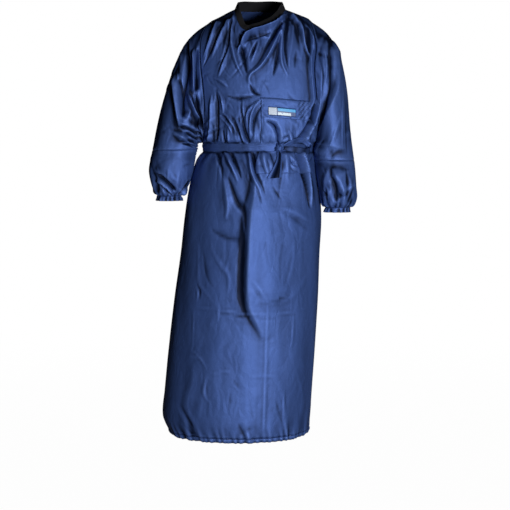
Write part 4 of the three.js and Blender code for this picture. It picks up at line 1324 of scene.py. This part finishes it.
def sleeve_relief(hand, form, starts, angle, seed):
    x, z = form[..., 0], form[..., 2]
    ahead = np.sin(angle)[None, :] * np.ones(x.shape)
    down = run_of(form, 0)
    girth = run_of(closed(form), 1)
    u = girth[:, :-1]
    turn = np.arange(SLEEVE_COLUMNS)[None, :] / SLEEVE_COLUMNS
    height = folds_of(SLEEVE_FOLDS[hand + "_front"], x, z, SLEEVE_GAIN) * ease((ahead + 0.15) / 0.35)
    height += folds_of(SLEEVE_FOLDS[hand + "_back"], x, z, SLEEVE_GAIN) * ease((0.15 - ahead) / 0.35)
    height += fans_of(SLEEVE_FANS[hand], x, z, seed + 6) * np.where(ahead > 0, 1, -0.9)
    height += crumples(u, z, 120, seed, 0.9, 3.6, 26, 1.4, 0.8)
    height += crumples(u, z, 26, seed + 1, 1.4, 6.0, 55, 1.3, 0.5)
    height += sway(u, z, seed + 2, 110, 240, 1.2) - 1.5
    to_elbow = np.abs(down - down[starts[ELBOW_RING]][None, :])
    to_wrist = down[starts[WRIST_RING]][None, :] - down
    wrist_away = np.abs(to_wrist)
    puckers = gathers(turn, to_elbow, 26, 0.7, 9, seed + 3)
    pleats = gathers(turn, wrist_away, 17, 8.0, 36, seed + 4)
    height += puckers + np.where(to_wrist > 0, pleats, 0)
    # The side towards the body is pushed out, so that the sleeve meets the waist or the skirt.
    inner = ease((-np.cos(angle) - 0.2) / 0.6)[None, :] * (ahead > -0.5)
    close = 13 * bell((z + 430) / 22) + 5 * bell((z + 470) / 55)
    near_skirt = 8 * bell((z + 492) / 45)
    height += inner * (close if hand == "left" else near_skirt)
    height *= ease(down / 10) * ease(wrist_away / 6)
    seam = -0.5 * bell(to_elbow / 1.8) + 0.3 * bell((to_elbow - 6) / 3)
    sewn = 0.4 * bell((down - 6.5) / 3) - 0.3 * bell(down / 1.8)
    past = np.clip(-to_wrist, 0, None)
    ruffle = gathers(turn, past, 17, 7.0, 60, seed + 5) + 0.2 * past
    return height + seam + sewn + np.where(to_wrist < 0, ruffle, 0)


# %% [markdown]
# ## Making the sleeves
# The cuff is the end of the sleeve beyond the elastic: a narrow ruffle. It's thicker, because it is
# turned in and stitched round the elastic. A lower piece reaches a little over the one above it, so
# no light shows through the seam. The upper arm, the side beside the body and the top of the shoulder
# are given painted shade, as the front is.


# %% Sleeve pieces
OVERLAP = 0.15  # of a row
ARM_SHADE = {"right": 0.16, "left": 0.04}


def make_sleeve(hand, seed):
    form, starts, angle, sign = sleeve_form(hand)
    facing = 1 if sign < 0 else -1
    out = normals_of(form, ring=True, sign=facing)
    height = sleeve_relief(hand, form, starts, angle, seed)
    grid = form + out * height[..., None]
    if facing < 0:
        grid, form = grid[:, ::-1], form[:, ::-1]
    elbow, wrist = starts[ELBOW_RING], starts[WRIST_RING]
    below_seam = run_of(grid, 0)
    beside_body = ease((-np.cos(angle) - 0.1) / 0.6)
    if facing < 0:
        beside_body = beside_body[::-1]
    upper_arm = ease((below_seam[elbow] - below_seam) / 60)
    shade = upper_arm * (0.5 * beside_body[None, :] + ARM_SHADE[hand])
    shade = shade + 0.5 * ease((grid[..., 2] + 170) / 110)
    cuts = (
        ("sleeve_upper", 0, elbow, WALL),
        ("sleeve_lower", elbow, wrist, WALL),
        ("cuff", wrist, None, 1.3),
    )
    for name, top, bottom, wall in cuts:
        rows = slice(top, None if bottom is None else bottom + 1)
        piece = grid[rows].copy()
        if top:
            piece[0] += (piece[0] - piece[1]) * OVERLAP
        held = "gathered" if name == "cuff" else "draped"
        cloth(f"{name}_{hand}", piece, form[rows], held, ring=True, wall=wall, shade=shade[rows])
    return grid, starts


right_sleeve, right_starts = make_sleeve("right", 101)
left_sleeve, left_starts = make_sleeve("left", 131)

# %% [markdown]
# ## Neck band
# The band is a doubled strip of black rib on the neck seam. Its section is a flat loop with a round
# top, and its ribs are real ridges across it. It starts at the V, goes round the wearer's left side
# and the back, and its square end laps over its start.

# %% Band along a line
BAND_WIDE, BAND_FRONT, BAND_THICK, BAND_LAP = 27, 17, 2.4, 14


def resample(line, step):
    """A polyline at even steps of its length."""
    run = run_along(line)
    count = max(2, round(run[-1] / step) + 1)
    want = np.linspace(0, run[-1], count)
    return np.stack([np.interp(want, run, line[:, k]) for k in range(line.shape[1])], -1), want


def softened(values, width):
    """Values averaged over a few neighbours, with the ends kept."""
    kernel = np.ones(width) / width
    padded = np.pad(values, ((width // 2, width // 2), (0, 0)), mode="edge")
    return np.stack([np.convolve(padded[:, k], kernel, "valid") for k in range(values.shape[1])], -1)


def closed_ends(rows, columns):
    """Closes both ends of a flat tube with strips of quads."""
    faces = []
    for row, turned in ((0, False), (rows - 1, True)):
        ids = [row * columns + c for c in range(columns)]
        for c in range(columns // 2 - 1):
            quad = (ids[c], ids[c + 1], ids[columns - 2 - c], ids[columns - 1 - c])
            faces.append(quad if turned else quad[::-1])
    return faces


def tube_piece(name, grid, finish, stands_for, ring=False):
    """A flat tube as a piece: closed on itself, or with its ends closed."""
    down, across = grid.shape[:2]
    ids = np.arange(down * across).reshape(down, across)
    ids = np.hstack([ids, ids[:, :1]])
    if ring:
        ids = np.vstack([ids, ids[:1]])
    quads = np.stack([ids[:-1, :-1], ids[:-1, 1:], ids[1:, 1:], ids[1:, :-1]], -1)
    quads = quads.reshape(-1, 4).tolist()
    if not ring:
        quads += closed_ends(down, across)
    return add_piece(name + "_tube", mesh_of(name, grid, quads), finish, stands_for)


def make_neck_band():
    seam = front_form[0][::-1]
    tip = int(np.argmin(seam[:, 2]))
    left_arm, right_arm = seam[: tip + 1][::-1], seam[tip:][::-1]
    behind = back_form[0][::-1][1:-1]
    overhang = right_arm[-1] + unit((right_arm[-1] - right_arm[-6]) * (1, 0.2, 1)) * BAND_LAP
    line, run = resample(np.vstack([left_arm, behind, right_arm, overhang[None]]), 0.62)
    line = softened(line, 3)
    length = run[-1]
    lap = np.exp(-((line[:, 0] / 62.0) ** 6)) * (line[:, 1] > 0)
    line = line + np.stack([0 * run, 0 * run, 0.4 + 1.8 * lap], -1)
    frontness = np.clip(-line[:, 1] / 60, 0, 1)
    inward = unit(np.stack([-line[:, 0], -line[:, 1], 0 * run], -1))
    tilt = 0.12 + 0.6 * frontness + 0.27 * bell(line[:, 1] / 45)
    rise = unit(np.stack([0 * run, 0 * run, 1 + 0 * run], -1) + inward * tilt[:, None])
    ahead = unit(np.gradient(line, axis=0))
    rise = unit(rise - ahead * np.sum(rise * ahead, -1, keepdims=True) * 0.9)
    outward = unit(np.cross(ahead, rise))
    outward *= np.sign(np.sum(outward * -inward, -1, keepdims=True))
    over_start = (BAND_THICK + 1.0) * ease((run - (length - BAND_LAP - 26)) / 22)
    line = line + outward * over_start[:, None] - rise * 2.5
    # The section: up the outside, over the round top and down the inside.
    steps = 9
    up = np.linspace(0, 1, steps)
    heights = np.concatenate([up, up[::-1]])
    # The band stands a little higher behind the neck.
    backness = ease(line[:, 1] / 70)
    tall = (BAND_WIDE + (BAND_FRONT - BAND_WIDE) * frontness + 1.1 + 4 * backness)[:, None]
    bulge = np.sqrt(np.maximum(0, 1 - heights**10))
    sides = np.concatenate([np.ones(steps), -np.ones(steps)]) * bulge * BAND_THICK / 2
    ribs = 0.36 * np.cos(2 * math.pi * run / 2.5)
    slow = 0.5 * np.sin(run / 23.0) + 0.4 * np.sin(run / 9.0 + 2)
    wave = 0.7 * np.sin(run / 37.0) + 0.5 * np.sin(run / 14.0)
    grid = np.empty((len(run), 2 * steps, 3))
    for j, (height, side) in enumerate(zip(heights, sides)):
        away = side + np.sign(side) * ribs * (0.25 + 0.75 * bulge[j]) + slow * height
        grid[:, j] = line + rise * (height * tall * (1 + 0.02 * wave[:, None])) + outward * away[:, None]
    return grid, line


band_grid, band_line = make_neck_band()
band = tube_piece("neck_band", band_grid, RIB, ["neck_band"])
print("neck band of", len(band_grid), "steps")

# %% [markdown]
# ## Belt
# The belt is a strap of the same nylon, turned in and stitched, and crumpled lengthwise where it
# pulls. It goes all round the waist over the pocket. Its section is a flat loop like the neck
# band's, and a helper makes any strap from its middle line, its width and the way that it faces.


# %% Straps
def strap_grid(line, rise, face, wide, thick, creases, seed, steps=9):
    """A flat tube: rows along the line, columns round the section. rise is across the strap."""
    rng = np.random.default_rng(seed)
    run = run_along(line)
    place = np.linspace(-1, 1, steps)
    crown = np.zeros((len(run), steps))
    for _ in range(creases):
        middle = rng.uniform(-0.7, 0.7)
        wander = 0.25 * np.sin(run / rng.uniform(18, 45) + rng.uniform(0, 6.3))
        tall = rng.uniform(0.5, 1.3) * rng.choice([-1, 1])
        swell = 0.55 + 0.45 * np.sin(run / rng.uniform(14, 40) + rng.uniform(0, 6.3))
        off = (place[None, :] - middle - wander[:, None]) / rng.uniform(0.16, 0.3)
        crown += tall * swell[:, None] * bell(off)
    rim = np.sqrt(np.maximum(0, 1 - np.abs(place) ** 6))
    half = thick / 2
    wide = np.broadcast_to(wide, run.shape)
    near = line[:, None] + rise[:, None] * (place[None, :, None] * wide[:, None, None] / 2)
    outside = near + face[:, None] * (crown + half * rim[None, :])[..., None]
    inside = near + face[:, None] * (crown - half * rim[None, :])[..., None]
    return np.concatenate([outside, inside[:, ::-1]], axis=1)


def make_belt():
    row = row_of(BELT_MIDDLE)
    ahead, behind = front_form[row], back_form[row][::-1][1:-1]
    line = np.vstack([ahead, behind])
    out = unit(np.vstack([front_out[row], back_out[row][::-1][1:-1]]) * (1, 1, 0))
    column = np.arange(len(line))
    on_pocket = (column >= FRONT_MIDDLE - 2) & (column <= FRONT_MIDDLE + FRONT_NEAR + 2)
    on_lap = np.abs(column - (len(ahead) + BACK_MIDDLE - 1)) <= LAP_COLUMNS + 3
    away = 1.9 + 1.5 * on_pocket + 2.2 * on_lap
    away = softened(np.concatenate([away[-6:], away, away[:6]])[:, None], 7)[6:-6, 0]
    line = line + out * away[:, None]
    loop = np.vstack([line, line[:1]])
    line, run = resample(loop, 2.6)
    facing = np.vstack([out, out[:1]])
    source = run_of(loop[None], 1)[0]
    facing = np.stack([np.interp(run, source, facing[:, k]) for k in range(3)], -1)[:-1]
    line, run = line[:-1], run[:-1]
    length = run[-1]
    phase = 2 * math.pi * run / length
    line[:, 2] += 0.7 * np.sin(9 * phase) + 0.6 * np.sin(23 * phase + 1)
    wide = 22.5 + 1.0 * np.sin(14 * phase) + 0.8 * np.sin(31 * phase + 2)
    rise = np.tile((0.0, 0.0, 1.0), (len(run), 1))
    grid = strap_grid(line, rise, unit(facing), wide, 2.0, 9, 201)
    return grid, length


belt_grid, belt_length = make_belt()
belt = tube_piece("belt", belt_grid, NYLON, ["belt"], ring=True)
# Painted shade darkens the whole belt, in slow and quick waves along its length.
belt_along = np.arange(belt_grid.shape[0])[:, None] * np.ones(belt_grid.shape[1])
belt_shade = 0.24 + 0.12 * np.sin(belt_along / 9.0) + 0.1 * np.sin(belt_along / 3.7 + 1)
keep_shades(belt, hollow=belt_shade)
belt_length * MM
print("belt", round(belt_length), "mm round the waist")

# %% [markdown]
# ## Knot, half bow and free end
# The belt is tied in a half bow over the pocket's inner side: a loop to the wearer's left and one
# end hanging. The knot could be one lump, but a tied strap shows how it wraps, so it's two turns of
# folded strap over a core.

# %% Knot
knot_column = FRONT_MIDDLE + round(FRONT_NEAR * 3 / 8)
knot_row = row_of(BELT_MIDDLE)
KNOT = front_form[knot_row, knot_column]
KNOT_OUT = unit(front_out[knot_row, knot_column] * (1, 1, 0))
KNOT_LEFT = np.array([-KNOT_OUT[1], KNOT_OUT[0], 0])
SURFACE = 5.1  # from the form to the belt's face over the pocket


def spot(along, away, up):
    return KNOT + KNOT_LEFT * along + KNOT_OUT * (SURFACE + away) + np.array([0, 0, up])


def strap_along(name, path, thick, creases, seed, facing, step=1.6, stands_for=()):
    """A strap through (along, away, up, width) stops. facing turns it about its own line."""
    keys = np.array([[*spot(along, away, up), wide] for along, away, up, wide in path])
    line, run = resample(smooth_path(keys, 10), step)
    wide, line = line[:, 3], line[:, :3]
    ahead = unit(np.gradient(line, axis=0))
    turn = np.interp(np.linspace(0, 1, len(run)), np.linspace(0, 1, len(facing)), facing)
    across = unit(np.array([0, 0, 1.0]) - ahead * ahead[:, 2:3] + 1e-6 * KNOT_OUT)
    flat = unit(np.cross(ahead, across))
    cos, sin = np.cos(turn)[:, None], np.sin(turn)[:, None]
    rise, face = across * cos + flat * sin, flat * cos - across * sin
    grid = strap_grid(line, rise, face, wide, thick, creases, seed)
    piece = tube_piece(name, grid, NYLON, stands_for)
    # Painted shade: the strap is darkened in waves along it, and much more on its inner face.
    inside = np.arange(grid.shape[1]) >= grid.shape[1] // 2
    keep_shades(piece, hollow=(0.16 + 0.16 * np.sin(run / 5.0))[:, None] + 0.6 * inside)
    return piece, grid


def make_knot_core():
    """A rounded lump with a waist, under the turns of strap."""
    around, tall = 28, 15
    rows = []
    for up in np.linspace(-1, 1, tall):
        swell = math.sqrt(max(0.0, 1 - up**4))
        angles = np.linspace(0, 2 * math.pi, around, endpoint=False)
        ring = [
            spot(
                12.5 * swell * math.cos(a) * (1 + 0.06 * math.sin(3 * a + 4 * up)),
                2 + (11 * swell * math.sin(a) if math.sin(a) > 0 else 2 * swell * math.sin(a)),
                13.5 * up + 1.2 * math.sin(2 * a),
            )
            for a in angles
        ]
        rows.append(ring)
    return np.array(rows)


core = make_knot_core()
knot = add_piece("belt_knot", grid_mesh("belt_knot", core, True), NYLON, ["belt_knot"])
TURN_OVER = [(-3, 0, 15, 12), (-4, 10, 12, 14), (-2, 14.5, 0, 15), (2, 11, -12, 13), (3, 1, -15, 11)]
TURN_ACROSS = [(-14, 4, -6, 12), (-9, 10.5, -2, 13), (2, 13.0, 4, 13), (11, 9.5, 8, 12), (15, 3, 8, 10)]
wraps = (
    ("knot_turn_over", TURN_OVER, 301, (0.0, 0.2)),
    ("knot_turn_across", TURN_ACROSS, 302, (0.0, 0.0)),
)
for name, path, seed, facing in wraps:
    strap_along(name, path, 2.2, 4, seed, facing, step=1.0)
print("the knot is a core and", len(wraps), "turns of strap")

# %% [markdown]
# ## Half bow
# The loop leaves the knot, turns back and returns to it. It's twisted, and its two runs stand apart,
# so it takes a path of its own with a width at each stop and a turn about that path.

# %% Half bow
LOOP = [
    (13, 8, 4, 13), (34, 7, 15, 17), (56, 3, 23, 18), (78, -5, 20, 18), (94, -10, 8, 17),
    (96, -5, -4, 16), (84, 4, -11, 17), (60, 12, -9, 17), (36, 15, -5, 16), (12, 12, -1, 12),
]
LOOP_FACING = (0.3, 0.5, 0.7, 0.4, 0.1, -0.2, -0.4, -0.2, 0.1, 0.2)
loop, loop_grid = strap_along("belt_loop", LOOP, 2.0, 6, 303, LOOP_FACING, stands_for=["belt_loop"])

# %% [markdown]
# ## Free end
# The end of the belt hangs from the knot. It widens and folds open towards its foot, with one edge
# straight. It's a sheet with a wall and not a flat tube, since the fold is open. Its painted shade is
# given on the side that turns under.


# %% Free end
def ahead_of(x, z):
    wide = at(BODY, "left", z) - centre_at(z)
    return -at(BODY, "front", z) * np.sqrt(np.maximum(0, 1 - ((x - centre_at(z)) / wide) ** 2))


TAIL_EDGE = 64  # x of its straight edge
TAIL = table(
    "up wide away",
    (-12, 12, 5),
    (-30, 14, 5),
    (-46, 19, 4),
    (-61, 27, 4),
    (-76, 36, 4),
    (-90, 44, 4),
)


def make_tail():
    keys = np.stack([TAIL["up"], TAIL["wide"], TAIL["away"]], -1)
    rows = smooth_path(keys, 12)
    place = np.linspace(-1, 1, 33)
    grid = np.empty((len(rows), len(place), 3))
    for r, (up, wide, away) in enumerate(rows):
        spread = ease((-up - 20) / 70)
        across = TAIL_EDGE - wide / 2 + place * wide / 2
        z = BELT_MIDDLE + up + 2.0 * place * spread
        turned = (7 + 7 * spread) * ease((place + 0.35 + 0.2 * spread) / 0.75)
        turned += 1.6 * bell((place - 0.4) / 0.14) - 1.5 * bell((place + 0.7) / 0.2)
        turned -= 2.5 * ease((place - 0.6) / 0.4)
        grid[r] = np.stack([across, ahead_of(across, z) - SURFACE - away - turned, z], -1)
    return grid


tail_grid = make_tail()
tail_across = np.linspace(-1, 1, tail_grid.shape[1])[None, :]
tail_shade = ease(tail_across + 0.9) * (1 - ease((tail_across - 0.62) / 0.1))
cloth(
    "belt_tail", tail_grid, tail_grid, "hung", wall=TURNED_WALL, rests_on=["belt_knot"],
    shade=tail_shade,
)

# %% [markdown]
# ## Stitches
# The seams that show are lockstitched. Each stitch is a small closed spindle of thread lying on the
# cloth, and one mesh holds all the stitches of a seam. They follow the folded cloth, so they could
# not be a repeated picture.


# %% Stitch helper
def stitches(name, line, out, length=2.9, gap=1.1, wide=0.55):
    """Spindles along a line of points, on the side that out points to."""
    run = run_of(line[None], 1)[0]
    starts = np.arange(0.5, run[-1] - length, length + gap)

    def sample(values, want):
        return np.stack([np.interp(want, run, values[:, k]) for k in range(3)], -1)

    first, last = sample(line, starts), sample(line, starts + length)
    normal = unit(sample(out, starts + length / 2))
    ahead = unit(last - first)
    side = unit(np.cross(ahead, normal))
    rings = []
    for share, size in ((0.0, 0.35), (0.3, 1.0), (0.7, 1.0), (1.0, 0.35)):
        middle = first + (last - first) * share + normal * (0.05 + 0.18 * size)
        for across, up in ((1, 0), (0, 1), (-1, 0), (0, -1)):
            rings.append(middle + (side * across * wide / 2 + normal * up * 0.22) * size)
    points = np.stack(rings, 1)
    faces = [(0, 1, 2, 3), (15, 14, 13, 12)]
    for ring in range(3):
        for k in range(4):
            a, b = ring * 4 + k, ring * 4 + (k + 1) % 4
            faces.append((b, a, a + 4, b + 4))
    index = (np.array(faces)[None] + 16 * np.arange(len(points))[:, None, None]).reshape(-1, 4)
    add_piece(name, mesh_of(name, points, index.tolist()), THREAD)
    return len(points)


def raised(grid, skin, rise):
    return grid + skin * rise


# %% [markdown]
# ## Rows of stitches
# The front hem, the right back hem, the pocket's three sewn sides, the top of the flap, the armholes
# and the elbow seams are stitched. Each line lies a row or two of the grid inside its piece's edge.

# %% Seams
count = 0
row = stitch_row - 1
hem_lines = [
    ("stitches_hem_front", front_cloth[row], front_skin[row]),
    ("stitches_hem_back_right", back_over[row, right_columns], back_skin[row, right_columns]),
]
for name, line, out in hem_lines:
    count += stitches(name, raised(line, out, 0.1), out)
pocket_rows = slice(row_of(POCKET_TOP) + 3, row_of(POCKET_FOOT))
inner, outer = FRONT_MIDDLE + 1, FRONT_MIDDLE + FRONT_NEAR - 1
for name, column in (("stitches_pocket_inner", inner), ("stitches_pocket_outer", outer)):
    line, out = front_cloth[pocket_rows, column], front_skin[pocket_rows, column]
    count += stitches(name, raised(line, out, 1.55), out)
foot = row_of(POCKET_FOOT) - 1
line, out = front_cloth[foot, inner : outer + 1], front_skin[foot, inner : outer + 1]
count += stitches("stitches_pocket_foot", raised(line, out, 1.6), out)
flap_top = row_of(FLAP_TOP) + 1
line, out = front_cloth[flap_top, inner : outer + 1], front_skin[flap_top, inner : outer + 1]
count += stitches("stitches_flap_top", raised(line, out, FLAP_BASE + 0.6), out)
for hand, sleeve, starts in (
    ("right", right_sleeve, right_starts),
    ("left", left_sleeve, left_starts),
):
    around = closed(sleeve)
    skin = closed(normals_of(sleeve, ring=True))
    for place, row in (("armhole", 2), ("elbow", starts[ELBOW_RING] - 2)):
        count += stitches(f"stitches_{place}_{hand}", raised(around[row], skin[row], 0.1), skin[row])
print(count, "stitches")
